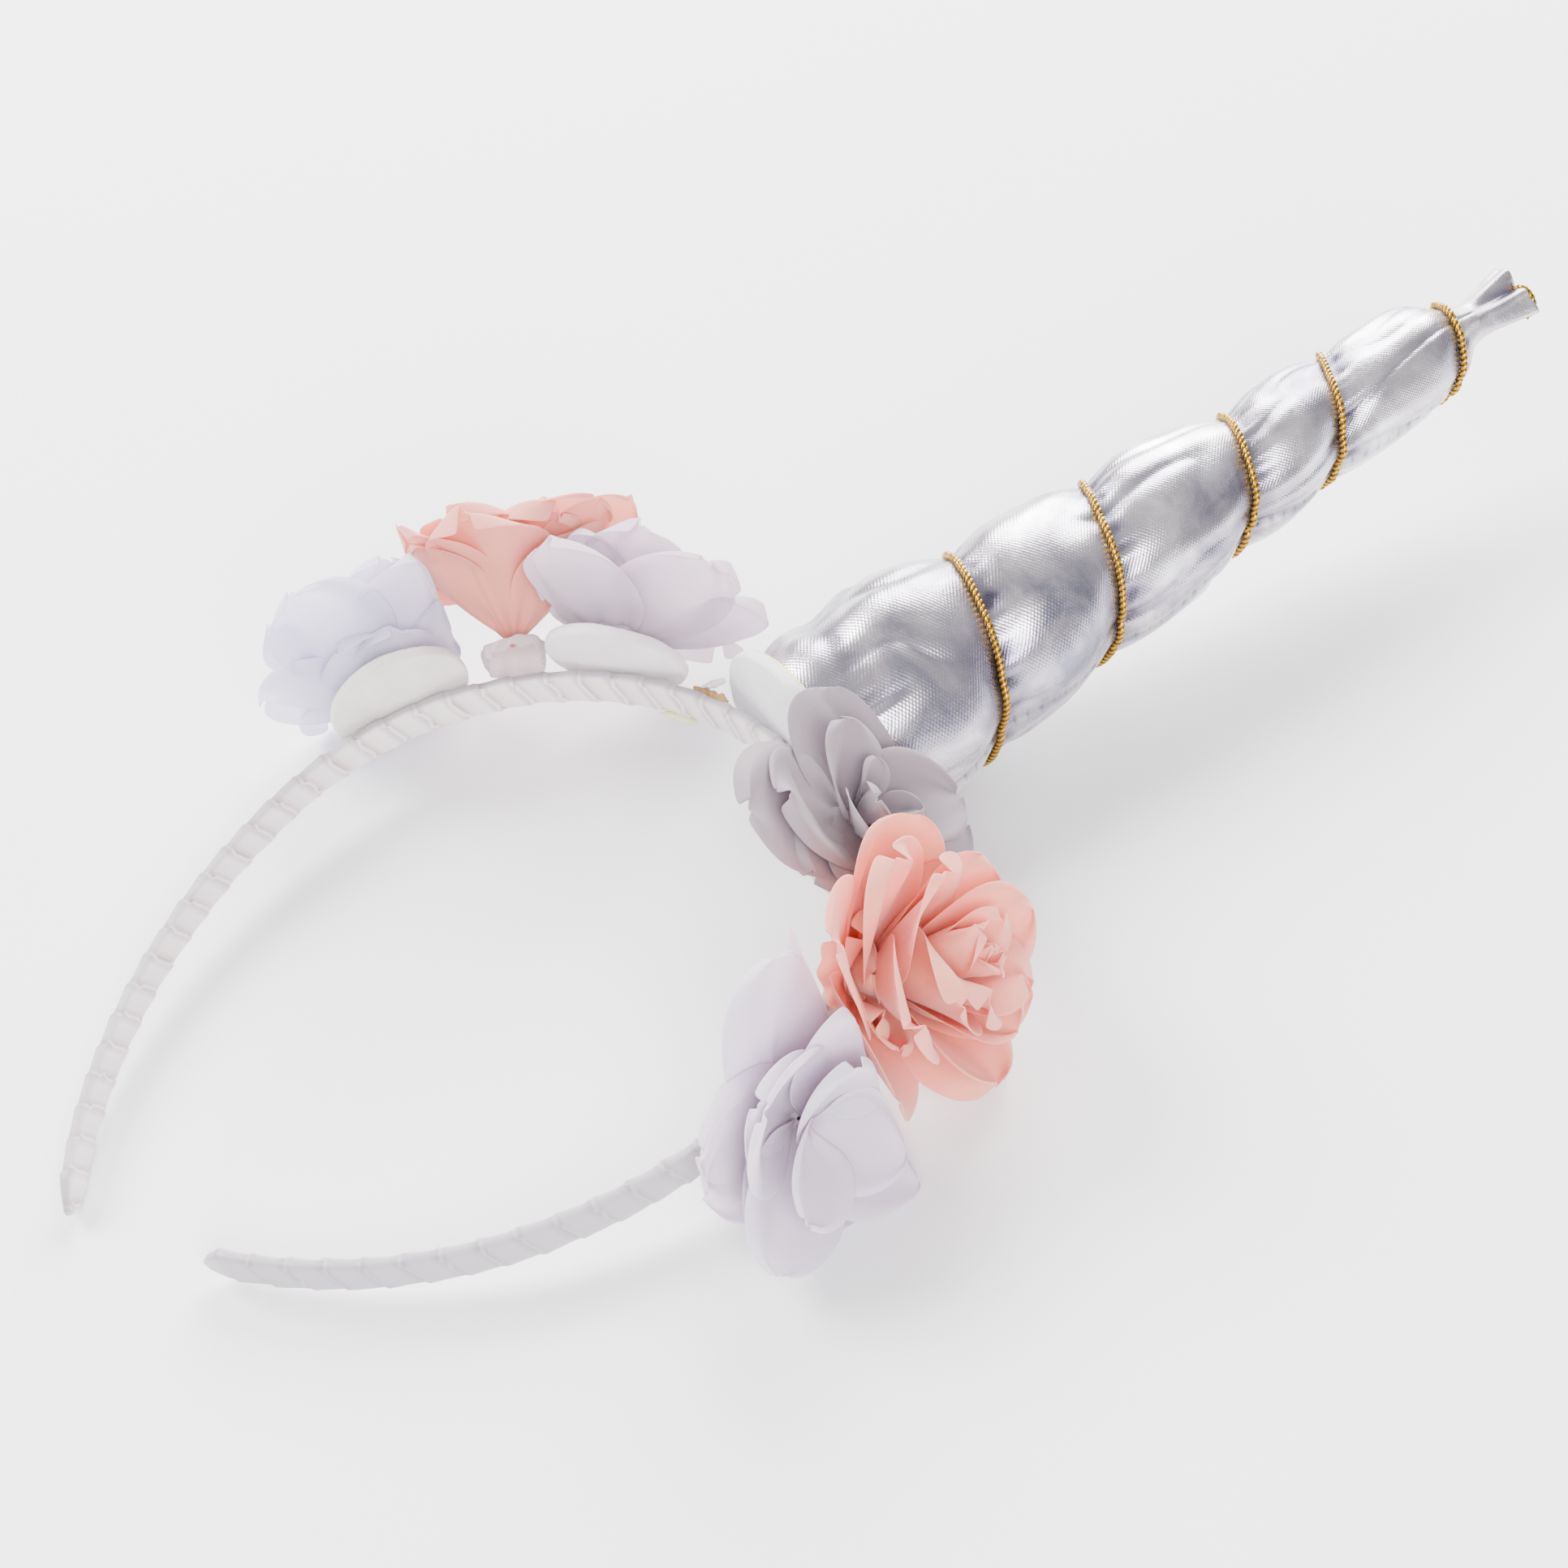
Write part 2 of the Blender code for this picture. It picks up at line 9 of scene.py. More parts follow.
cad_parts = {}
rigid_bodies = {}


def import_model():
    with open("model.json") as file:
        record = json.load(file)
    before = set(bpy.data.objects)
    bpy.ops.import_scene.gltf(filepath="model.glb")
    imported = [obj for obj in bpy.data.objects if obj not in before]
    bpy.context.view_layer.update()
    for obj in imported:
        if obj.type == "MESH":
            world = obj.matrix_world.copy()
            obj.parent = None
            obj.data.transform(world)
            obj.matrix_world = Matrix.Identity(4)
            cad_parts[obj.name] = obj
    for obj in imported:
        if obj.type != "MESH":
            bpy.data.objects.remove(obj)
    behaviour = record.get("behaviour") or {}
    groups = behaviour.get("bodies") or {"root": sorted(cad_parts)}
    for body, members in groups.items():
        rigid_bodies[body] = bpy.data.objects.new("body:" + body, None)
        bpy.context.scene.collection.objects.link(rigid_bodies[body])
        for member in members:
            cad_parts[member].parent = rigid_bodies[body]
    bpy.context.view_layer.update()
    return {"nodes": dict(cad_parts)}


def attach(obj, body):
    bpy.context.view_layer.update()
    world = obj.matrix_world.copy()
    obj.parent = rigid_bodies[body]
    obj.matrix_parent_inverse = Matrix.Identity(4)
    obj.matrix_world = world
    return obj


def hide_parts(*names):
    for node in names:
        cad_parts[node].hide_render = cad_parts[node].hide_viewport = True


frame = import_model()

# The headband's own frame: X ear to ear, Z up through the crown, -Y the side that ends on top.
# LYING takes it to the row's frame, in which the headband lies on its side.
TILT = math.radians(6.1)
RESTING_PLACE = Matrix.Translation((-0.0012717, -0.0124261, 0.0179622))
LYING = RESTING_PLACE @ Matrix.Rotation(TILT - math.pi / 2, 4, "X")

CROWN_RADIUS = 0.0561
CROWN_HALF_ANGLE = math.radians(95)
BAND_WIDTH = 0.0068
BAND_THICKNESS = 0.0024
BAND_STATION = 0.0009
BAND_SIDES = 28
ARMS = {
    -1: {"bow_radius": 0.1151, "end_angle": math.radians(139.9), "end_rounding": 0.0052},
    1: {"bow_radius": 0.0838, "end_angle": math.radians(154.1), "end_rounding": 0.0038},
}
# The ribbon wound round the strip: a wrap's length, and how much its overlapping edge stands up
WRAP_PITCH = 0.0061
WRAP_EDGE = 0.00036
WRAP_SUNK = 0.00012
RIBBON_CREASE = 0.00012
HORN_SEAT_ANGLE = math.radians(9.0)
DISC_LIFT = 0.0003
DISC_THICKNESS = 0.0022
DISC_RADIUS = 0.0205
PAD_RADIUS = 0.0130
PAD_THICKNESS = 0.0022
FELT_EDGE = 0.0005
GAP = 0.0003
# Two-strand cord: its radius, one lay of the twist, and its lift over the cloth
CORD_RADIUS = 0.00066
CORD_LAY = 0.0021
CORD_STRANDS = 2
CORD_SIDES = 12
CORD_STEPS = 2600
CORD_RISE = 0.00045
CORD_FIRST_TURN = 0.55
CORD_LAST_TURN = 5.40
CORD_FACING_ANGLE = math.radians(-50)
# Distance along the horn after each whole turn of the cord
CORD_TURNS = (0.0055, 0.0337, 0.0617, 0.0944, 0.1162, 0.1462)
# Distance along the horn and radius there
HORN_PROFILE = (
    (0.000, 0.0176), (0.004, 0.0188), (0.010, 0.0199), (0.018, 0.0204), (0.0260, 0.0199), (0.0337, 0.0187),
    (0.047, 0.0177), (0.0617, 0.0161), (0.078, 0.0149), (0.0944, 0.0132), (0.105, 0.0127), (0.1162, 0.0119),
    (0.131, 0.0108), (0.1462, 0.0084), (0.1505, 0.0052), (0.1535, 0.0039), (0.1575, 0.0041), (0.1648, 0.0046),
)
# Place along the crown, lean towards the side that ends on top, both in degrees, and shift across the band
FLOWERS = {
    "flower_far_lilac": {"arc": -30, "lean": 20, "shift": 0.0055, "padded": True},
    "flower_far_pink": {"arc": -48.5, "lean": 28, "shift": 0.0045, "padded": False},
    "flower_far_white": {"arc": -70, "lean": 12, "shift": 0.0040, "padded": True},
    "flower_near_grey": {"arc": 36.5, "lean": 38, "shift": 0.0080, "padded": True},
    "flower_near_peach": {"arc": 61.5, "lean": 25, "shift": 0.0030, "padded": False},
    "flower_near_white": {"arc": 86, "lean": 15, "shift": 0.0010, "padded": True},
}
# The way down to the table in the headband's frame, and how far down cloth may reach
TABLE_SIDE = Vector((0, math.cos(TILT), -math.sin(TILT)))
TABLE_LIMIT = 0.0177
FELT_LIMIT = 0.0179
# Planes between neighbours, as the CAD has them: place on the band and lean
PARTINGS = (
    ("flower_far_white", "flower_far_pink", -55.6, -24),
    ("flower_far_pink", "flower_far_lilac", -44.6, 42),
    ("flower_near_grey", "flower_near_peach", 50.4, -34),
    ("flower_near_peach", "flower_near_white", 71.8, 30),
)


def head(point):
    return LYING @ Vector(point)


def direction(vector):
    return (LYING.to_3x3() @ Vector(vector)).normalized()


# Node trees

class Tree:
    """A small helper that adds nodes to a material and links them."""

    def __init__(self, name):
        self.material = bpy.data.materials.new(name)
        self.material.use_nodes = True
        self.tree = self.material.node_tree
        self.shader = self.tree.nodes["Principled BSDF"]
        self.output = self.tree.nodes["Material Output"]

    def add(self, kind, inputs=None, **settings):
        node = self.tree.nodes.new(kind)
        for key, value in settings.items():
            setattr(node, key, value)
        for key, value in (inputs or {}).items():
            self.set(node.inputs[key], value)
        return node

    def set(self, socket, value):
        if isinstance(value, bpy.types.NodeSocket):
            self.tree.links.new(value, socket)
        else:
            socket.default_value = value

    def shade(self, **inputs):
        for key, value in inputs.items():
            self.set(self.shader.inputs[key.replace("_", " ")], value)

    def object_place(self, scale=1.0):
        coord = self.add("ShaderNodeTexCoord")
        mapping = self.add("ShaderNodeMapping", {"Vector": coord.outputs["Object"], "Scale": (scale,) * 3})
        return mapping.outputs["Vector"]

    def noise(self, place, scale, detail=3.0, roughness=0.55, distortion=0.0):
        shape = {"Detail": detail, "Roughness": roughness, "Distortion": distortion}
        return self.add("ShaderNodeTexNoise", {"Vector": place, "Scale": scale, **shape}).outputs["Fac"]

    def ramp(self, value, stops):
        node = self.add("ShaderNodeValToRGB", {"Fac": value})
        band = node.color_ramp
        while len(band.elements) < len(stops):
            band.elements.new(0.5)
        for element, (at, colour) in zip(band.elements, stops):
            element.position = at
            element.color = (*colour, 1.0)
        return node.outputs["Color"]

    def maths(self, operation, a, b=0.5, c=None):
        node = self.add("ShaderNodeMath", operation=operation)
        self.set(node.inputs[0], a)
        self.set(node.inputs[1], b)
        if c is not None:
            self.set(node.inputs[2], c)
        return node.outputs[0]

    def mix(self, share, a, b, blend="MIX"):
        node = self.add("ShaderNodeMix", data_type="RGBA", blend_type=blend)
        self.set(node.inputs[0], share)
        self.set(node.inputs[6], a)
        self.set(node.inputs[7], b)
        return node.outputs[2]

    def attribute(self, name):
        return self.add("ShaderNodeAttribute", attribute_name=name)

    def bump(self, height, distance, strength=1.0, normal=None):
        node = self.add("ShaderNodeBump", {"Height": height, "Distance": distance, "Strength": strength})
        if normal is not None:
            self.set(node.inputs["Normal"], normal)
        return node.outputs["Normal"]


def rgba(colour):
    return (*colour, 1.0)


def weave_height(tree, place, threads):
    """Crossed threads, from two sine gratings on the uv coordinates."""
    split = tree.add("ShaderNodeSeparateXYZ", {"Vector": place})
    across = tree.maths("SINE", tree.maths("MULTIPLY", split.outputs[0], threads), 0.0)
    along = tree.maths("SINE", tree.maths("MULTIPLY", split.outputs[1], threads), 0.0)
    return tree.maths("MULTIPLY", across, along)


def ribbon_material():
    t = Tree("satin_ribbon")
    place = t.object_place()
    wrap = t.attribute("wrap").outputs["Fac"]
    face = t.attribute("face").outputs["Fac"]
    soft = t.noise(place, 90, 3)
    # Painted shade: both ramps darken at each wrap's overlapping edge, where the step shades the ribbon
    inner_face_edge_shade = t.ramp(wrap, (
        (0.0, (0.25, 0.18, 0.19)), (0.08, (0.50, 0.40, 0.41)), (0.26, (0.72, 0.64, 0.64)),
        (0.7, (0.79, 0.73, 0.73)), (1.0, (0.46, 0.37, 0.39)),
    ))
    # The outward face's ramp is a painted shade copy of the same ribbon, darker than the inward face's
    outer_face_painted_shade = t.ramp(wrap, (
        (0.0, (0.21, 0.18, 0.20)), (0.08, (0.31, 0.28, 0.31)), (0.3, (0.39, 0.37, 0.40)),
        (0.8, (0.38, 0.36, 0.39)), (1.0, (0.27, 0.24, 0.27)),
    ))
    colour = t.mix(face, outer_face_painted_shade, inner_face_edge_shade)
    colour = t.mix(t.maths("MULTIPLY", soft, 0.18), colour, rgba((0.66, 0.53, 0.54)))
    uv = t.add("ShaderNodeUVMap").outputs["UV"]
    threads = weave_height(t, uv, 14000.0)
    fine = t.bump(threads, 0.00002, 0.5)
    t.shade(
        Base_Color=colour, Roughness=t.maths("MULTIPLY_ADD", soft, 0.2, 0.32),
        Normal=t.bump(soft, 0.0002, 0.25, fine),
        Sheen_Weight=0.35, Sheen_Roughness=0.4, Specular_IOR_Level=0.55,
    )
    return t.material


def lame_material():
    t = Tree("silver_lame")
    place = t.object_place()
    groove = t.attribute("groove").outputs["Fac"]
    cloud = t.noise(place, 55, 4, 0.6, 0.8)
    grain = t.noise(place, 1500, 2, 0.6)
    glitter = t.noise(place, 4200, 1, 0.5)
    # Painted reflection: the cloud paints patches from dark grey to near white at random, standing in for the
    # lamé's dark and bright reflections
    tone = t.ramp(cloud, ((0.34, (0.26, 0.26, 0.33)), (0.5, (0.55, 0.50, 0.55)), (0.66, (0.86, 0.83, 0.86))))
    # Painted shade from the groove attribute: white where there is none, down to near black in the deepest
    # creases
    shade = t.ramp(groove, ((0.0, (1.0, 1.0, 1.0)), (0.5, (0.52, 0.52, 0.60)), (1.0, (0.16, 0.15, 0.21))))
    colour = t.mix(1.0, tone, shade, "MULTIPLY")
    uv = t.add("ShaderNodeUVMap").outputs["UV"]
    threads = weave_height(t, uv, 9000.0)
    fine = t.bump(threads, 0.00003, 0.5)
    grained = t.bump(grain, 0.00008, 0.45, fine)
    t.shade(
        Base_Color=colour, Metallic=0.92, Roughness=t.maths("MULTIPLY_ADD", glitter, 0.14, 0.20),
        Normal=grained, Sheen_Weight=0.1, Coat_Weight=0.1, Coat_Roughness=0.3,
    )
    return t.material


def gold_material():
    t = Tree("gold_twist")
    place = t.object_place()
    fibre = t.noise(place, 2600, 2, 0.5)
    strand = t.attribute("strand").outputs["Fac"]
    # Painted shade: near black in the grooves between the two strands, lighter on their crests
    tone = t.ramp(strand, (
        (0.0, (0.04, 0.015, 0.003)), (0.4, (0.20, 0.095, 0.008)),
        (0.8, (0.44, 0.24, 0.02)), (1.0, (0.68, 0.43, 0.06)),
    ))
    colour = t.mix(t.maths("MULTIPLY", fibre, 0.3), tone, rgba((0.24, 0.13, 0.012)))
    t.shade(Base_Color=colour, Metallic=0.85, Roughness=0.30, Normal=t.bump(fibre, 0.00008, 0.6))
    return t.material


def felt_material(name, light, dark):
    t = Tree(name)
    place = t.object_place()
    cloud = t.noise(place, 120, 4, 0.6)
    hair = t.noise(place, 2200, 3, 0.7, 1.2)
    colour = t.ramp(cloud, ((0.25, dark), (0.6, light)))
    colour = t.mix(t.maths("MULTIPLY", hair, 0.22), colour, rgba(dark))
    t.shade(
        Base_Color=colour, Roughness=0.95, Normal=t.bump(hair, 0.0003, 0.6),
        Sheen_Weight=0.5, Sheen_Roughness=0.6, Specular_IOR_Level=0.2,
    )
    return t.material


def glue_material(name, colour, deep):
    t = Tree(name)
    place = t.object_place()
    cloud = t.noise(place, 260, 3, 0.6)
    tone = t.ramp(cloud, ((0.3, deep), (0.65, colour)))
    t.shade(
        Base_Color=tone, Roughness=0.22, Normal=t.bump(cloud, 0.0004, 0.4), Specular_IOR_Level=0.6,
        Subsurface_Weight=0.25, Subsurface_Radius=(0.002, 0.0012, 0.0006), Subsurface_Scale=1.0,
    )
    return t.material


def chiffon_material(name, edge, middle, deep, tint, sheerness):
    """Thin layered cloth: light shows through it, and painted shade darkens it towards the heart of the
    flower.
    """
    t = Tree(name)
    place = t.object_place()
    depth = t.attribute("depth").outputs["Fac"]
    cloud = t.ramp(t.noise(place, 75, 3, 0.5, 0.5), ((0.42, (0.0, 0.0, 0.0)), (0.68, (1.0, 1.0, 1.0))))
    # Painted shade: the colour darkens from the middle to the deep root colour at the flower's heart
    tone = t.ramp(depth, ((0.0, deep), (0.22, middle), (0.5, middle), (1.0, edge)))
    tinted = t.maths("MULTIPLY", t.maths("MULTIPLY", cloud, depth), 0.6)
    colour = t.mix(tinted, tone, rgba(tint))
    uv = t.add("ShaderNodeUVMap").outputs["UV"]
    threads = weave_height(t, uv, 9000.0)
    crease = t.noise(place, 420, 3, 0.6, 1.5)
    fine = t.bump(threads, 0.00002, 0.35)
    t.shade(
        Base_Color=colour, Roughness=0.72, Normal=t.bump(crease, 0.00025, 0.45, fine),
        Sheen_Weight=0.35, Sheen_Roughness=0.5, Specular_IOR_Level=0.25,
    )
    glow = t.mix(1.0, colour, rgba((1.0, 0.97, 0.98)), "MULTIPLY")
    thin = t.add("ShaderNodeBsdfTranslucent", {"Color": glow})
    clear = t.add("ShaderNodeBsdfTransparent", {"Color": (1, 1, 1, 1)})
    soft = t.add("ShaderNodeMixShader", {0: 0.38, 1: t.shader.outputs[0], 2: thin.outputs[0]})
    share = t.maths("MULTIPLY", t.maths("POWER", depth, 2.0), sheerness)
    sheer = t.add("ShaderNodeMixShader", {0: share, 1: soft.outputs[0], 2: clear.outputs[0]})
    t.tree.links.new(sheer.outputs[0], t.output.inputs["Surface"])
    return t.material


# Meshes

def make(name, verts, faces, look, uv=None, **attributes):
    """A smooth-shaded object from points in the headband's frame; attributes are values per point."""
    mesh = bpy.data.meshes.new(name)
    mesh.from_pydata([tuple(head(v)) for v in verts], [], faces)
    mesh.update()
    made = bpy.data.objects.new(name, mesh)
    bpy.context.scene.collection.objects.link(made)
    mesh.materials.append(look)
    mesh.shade_smooth()
    for key, values in attributes.items():
        layer = mesh.attributes.new(key, "FLOAT", "POINT")
        layer.data.foreach_set("value", np.clip(values, 0, 1).astype(np.float32))
    if uv is not None:
        layer = mesh.uv_layers.new(name="UVMap")
        at = np.empty(len(mesh.loops), dtype=np.int32)
        mesh.loops.foreach_get("vertex_index", at)
        layer.data.foreach_set("uv", np.asarray(uv, dtype=np.float32)[at].ravel())
    return made


def tube_faces(rings, around):
    """Quads between rings of points, with a cap on the first and the last ring."""
    faces = []
    for i in range(rings - 1):
        for j in range(around):
            k = (j + 1) % around
            faces.append((i * around + j, i * around + k, (i + 1) * around + k, (i + 1) * around + j))
    faces.append(tuple(range(around - 1, -1, -1)))
    faces.append(tuple((rings - 1) * around + j for j in range(around)))
    return faces


def smooth_table(table, x):
    """Values at x on a smooth curve through the table's rows."""
    xs = np.array([row[0] for row in table])
    ys = np.array([row[1] for row in table])
    slopes = np.gradient(ys, xs)
    x = np.clip(x, xs[0], xs[-1])
    i = np.clip(np.searchsorted(xs, x) - 1, 0, len(xs) - 2)
    width = xs[i + 1] - xs[i]
    t = (x - xs[i]) / width
    return (
        ys[i] * (1 + 2 * t) * (1 - t) ** 2 + ys[i + 1] * t * t * (3 - 2 * t)
        + width * t * (1 - t) * (slopes[i] * (1 - t) - slopes[i + 1] * t)
    )


def arm_length(side):
    arm = ARMS[side]
    return CROWN_RADIUS * CROWN_HALF_ANGLE + arm["bow_radius"] * (arm["end_angle"] - CROWN_HALF_ANGLE)


def band_frame(length):
    """Point on the strip's centre line and outward normal, that far along from the crown's top."""
    side = 1 if length >= 0 else -1
    along = abs(length)
    crown_length = CROWN_RADIUS * CROWN_HALF_ANGLE
    if along <= crown_length:
        angle = along / CROWN_RADIUS
        radius = CROWN_RADIUS
    else:
        radius = ARMS[side]["bow_radius"]
        angle = CROWN_HALF_ANGLE + (along - crown_length) / radius
    back = radius - CROWN_RADIUS
    sideways = -side * back * math.sin(CROWN_HALF_ANGLE)
    centre = np.array([sideways, 0, -CROWN_RADIUS - back * math.cos(CROWN_HALF_ANGLE)])
    normal = np.array([side * math.sin(angle), 0, math.cos(angle)])
    return centre + radius * normal, normal


def noise3(point, seed=0.0):
    return noise.noise(Vector(point) + Vector((seed, seed * 1.7, -seed)))


def headband():
    """The strip with its ribbon: each wrap overlaps the last along a slanted edge."""
    low, high = -arm_length(-1), arm_length(1)
    stations = np.linspace(low, high, int((high - low) / BAND_STATION))
    verts, uv, wrap, face = [], [], [], []
    for length in stations:
        point, normal = band_frame(length)
        rounding = ARMS[-1 if length < 0 else 1]["end_rounding"]
        from_end = min(length - low, high - length)
        share = min(1.0, math.sqrt(max(0.02, min(1.0, from_end / rounding))))
        for j in range(BAND_SIDES):
            a = math.tau * j / BAND_SIDES
            c, s = math.cos(a), math.sin(a)
            y = BAND_WIDTH / 2 * share * math.copysign(abs(c) ** 0.42, c)
            out = BAND_THICKNESS / 2 * (0.5 + 0.5 * share) * math.copysign(abs(s) ** 0.62, s)
            across = (y / (BAND_WIDTH * share) + 0.5) / 2
            skew = WRAP_PITCH * (across if out > 0 else 1 - across)
            phase = ((length + skew) / WRAP_PITCH) % 1.0
            edge = WRAP_EDGE * (phase ** 1.5) - WRAP_SUNK
            crease = RIBBON_CREASE * noise3((length * 260, y * 600, out * 500), 3.0)
            grow = edge + crease
            verts.append(point + np.array([0, y + grow * c, 0]) + normal * (out + grow * s))
            uv.append((length, a * 0.003))
            # wrap and face steer painted shade: darker at each wrap's overlapping edge and over the whole
            # outward face
            wrap.append(phase)
            face.append(-1.7 * s - 0.2)
    faces = tube_faces(len(stations), BAND_SIDES)
    made = make("headband_ribbon", verts, faces, ribbon_material(), uv, wrap=wrap, face=face)
    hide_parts("headband")
    return made


def horn_axes():
    """Middle of the disc's underside, the two directions across the horn, and the one along it."""
    along = Vector((math.sin(HORN_SEAT_ANGLE), 0, math.cos(HORN_SEAT_ANGLE)))
    crown = Vector((0, 0, -CROWN_RADIUS)) + along * (CROWN_RADIUS + BAND_THICKNESS / 2)
    return crown + along * DISC_LIFT, Vector((0, 1, 0)).cross(along), Vector((0, 1, 0)), along


HORN_AXES = horn_axes()
TURN_STEP = 0.005
TURN_LAST = 5.5
TURN_TABLE = [(i, place) for i, place in enumerate(CORD_TURNS)] + [(TURN_LAST, 0.1515)]
TURN_PLACES = smooth_table(TURN_TABLE, np.arange(0, TURN_LAST + TURN_STEP / 2, TURN_STEP)).tolist()
RADIUS_STEP = 0.0002
HORN_LENGTH = HORN_PROFILE[-1][0]
HORN_RADII = smooth_table(HORN_PROFILE, np.arange(0, HORN_LENGTH + RADIUS_STEP, RADIUS_STEP)).tolist()


def between(samples, place):
    """Straight line between the two samples next to a place in the list."""
    i = min(max(int(place), 0), len(samples) - 2)
    share = min(max(place - i, 0.0), 1.0)
    return samples[i] * (1 - share) + samples[i + 1] * share


def turn_place(turn):
    return between(TURN_PLACES, turn / TURN_STEP)


def horn_radius(distance):
    return between(HORN_RADII, distance / RADIUS_STEP)


TUFT_START = 0.1535
# How the cloth is drawn in: depth under the cord, and reach towards the tip and towards the foot
PINCH_DEPTH = 0.0024
PINCH_REACH_TIPWARD = 0.0056
PINCH_REACH_FOOTWARD = 0.0046
# Heights of the fine rays beside the cord, the broad swells and the sharp creases
RAY_HEIGHT = 0.0006
SWELL_HEIGHT = 0.0015
CREASE_DEPTH = 0.0007
SEAM_ANGLE = math.radians(12)
SEAM_WIDTH = 0.0010
SEAM_DEPTH = 0.0004
STITCHES = 2400


def horn_surface(distance, angle):
    """Radius of the stuffed horn, and how much painted shade the point gets, from 0 to 1."""
    radius = horn_radius(distance)
    if distance > TUFT_START:
        rise = (distance - TUFT_START) / 0.009
        fold = 0.0013 * rise * math.cos(3 * angle + 0.6) + 0.0006 * rise * math.cos(7 * angle)
        # In the tuft the second value is painted shade in the valleys between its folds
        return radius + fold, 0.6 * max(0.0, -math.cos(3 * angle + 0.6)) * rise
    share = ((CORD_FACING_ANGLE - angle) / math.tau) % 1.0
    signed = min((distance - turn_place(k + share) for k in range(0, 6) if k + share <= TURN_LAST), key=abs)
    near_foot = min(1.0, distance / 0.016)
    fade = min(1.0, max(0.0, (0.152 - distance) / 0.006)) * near_foot
    reach = PINCH_REACH_TIPWARD if signed > 0 else PINCH_REACH_FOOTWARD
    pinch = math.exp(-abs(signed / reach) ** 1.7)
    slim = min(1.0, radius / 0.014)
    x, y = math.cos(angle), math.sin(angle)
    tipward = math.exp(-abs(signed - 0.0022) / 0.0020)
    ray = noise3((x * 6.5, y * 6.5, distance * 22), 5.0)
    broad = noise3((x * 1.1, y * 1.1, distance * 30), 2.0)
    swirl = abs(noise3((x * 1.5 + distance * 22, y * 1.5, distance * 34), 17.0))
    crease = max(0.0, 1 - swirl * 3.2)
    wrinkle = RAY_HEIGHT * ray * tipward * fade + SWELL_HEIGHT * broad
    wrinkle -= CREASE_DEPTH * crease ** 1.5 * near_foot
    turn = (angle - SEAM_ANGLE - 0.3 * noise3((distance * 40, 1.0, 2.0), 3.0) + math.pi) % math.tau - math.pi
    seam = math.exp(-abs(turn * radius / SEAM_WIDTH) ** 1.5)
    stitch = seam if math.sin(distance * STITCHES) > 0.7 else 0.0
    low = math.exp(-((turn + 0.70) / 0.5) ** 2) * math.exp(-abs(signed + 0.0034) / 0.0030)
    # Painted shade: dark in the cord's pinch, in the hollows between the fine rays, in the seam's groove, in
    # the creases and in a patch below the seam footward of each cord; the stitches are dark marks along the
    # seam
    dark = max(0.0, pinch - 0.45) * 0.8 + max(0.0, -ray - 0.1) * tipward * 2.2 + 0.2 * seam + 0.5 * stitch
    dark += 0.30 * crease ** 2 + 0.80 * low
    drawn = radius - PINCH_DEPTH * pinch * fade * slim + wrinkle * slim - SEAM_DEPTH * seam * slim
    return drawn, dark * fade


def horn_point(distance, radius, angle):
    seat, side, down, along = HORN_AXES
    radial = side * math.cos(angle) + down * math.sin(angle)
    return seat + along * (DISC_THICKNESS + GAP + distance) + radial * radius


def horn():
    around, rings = 150, 330
    verts, uv, groove = [], [], []
    for distance in np.linspace(0, HORN_LENGTH, rings):
        for j in range(around):
            angle = math.tau * j / around
            radius, dark = horn_surface(distance, angle)
            point = horn_point(distance, radius, angle)
            verts.append(point - TABLE_SIDE * max(0.0, TABLE_SIDE.dot(point) - TABLE_LIMIT))
            uv.append((angle * 0.012, distance))
            # groove carries the painted shade that horn_surface works out
            groove.append(dark)
    faces = tube_faces(rings, around)
    made = make("horn_lame", verts, faces, lame_material(), uv, groove=groove)
    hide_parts("horn")
    return made


def swept(points, profile, name, look):
    """A tube along points; profile gives radius and strand shade for a run along it and an angle round it."""
    points = [Vector(p) for p in points]
    count = len(points)
    tangents = []
    for i in range(count):
        a, b = points[max(0, i - 1)], points[min(count - 1, i + 1)]
        tangents.append((b - a).normalized())
    side = tangents[0].orthogonal().normalized()
    verts, strand = [], []
    run = 0.0
    for i in range(count):
        side = (side - tangents[i] * side.dot(tangents[i])).normalized()
        up = tangents[i].cross(side)
        if i:
            run += (points[i] - points[i - 1]).length
        for j in range(CORD_SIDES):
            a = math.tau * j / CORD_SIDES
            radius, painted_strand_shade = profile(run, a)
            verts.append(points[i] + (side * math.cos(a) + up * math.sin(a)) * radius)
            strand.append(painted_strand_shade)
    return make(name, verts, tube_faces(count, CORD_SIDES), look, strand=strand)


def twisted_section(run, angle):
    lobe = abs(math.cos((angle - math.tau * run / CORD_LAY) * CORD_STRANDS / 2))
    # The second value paints shade between the strands: 0 in the groove, 1 on a crest
    return CORD_RADIUS * (0.72 + 0.36 * lobe), lobe


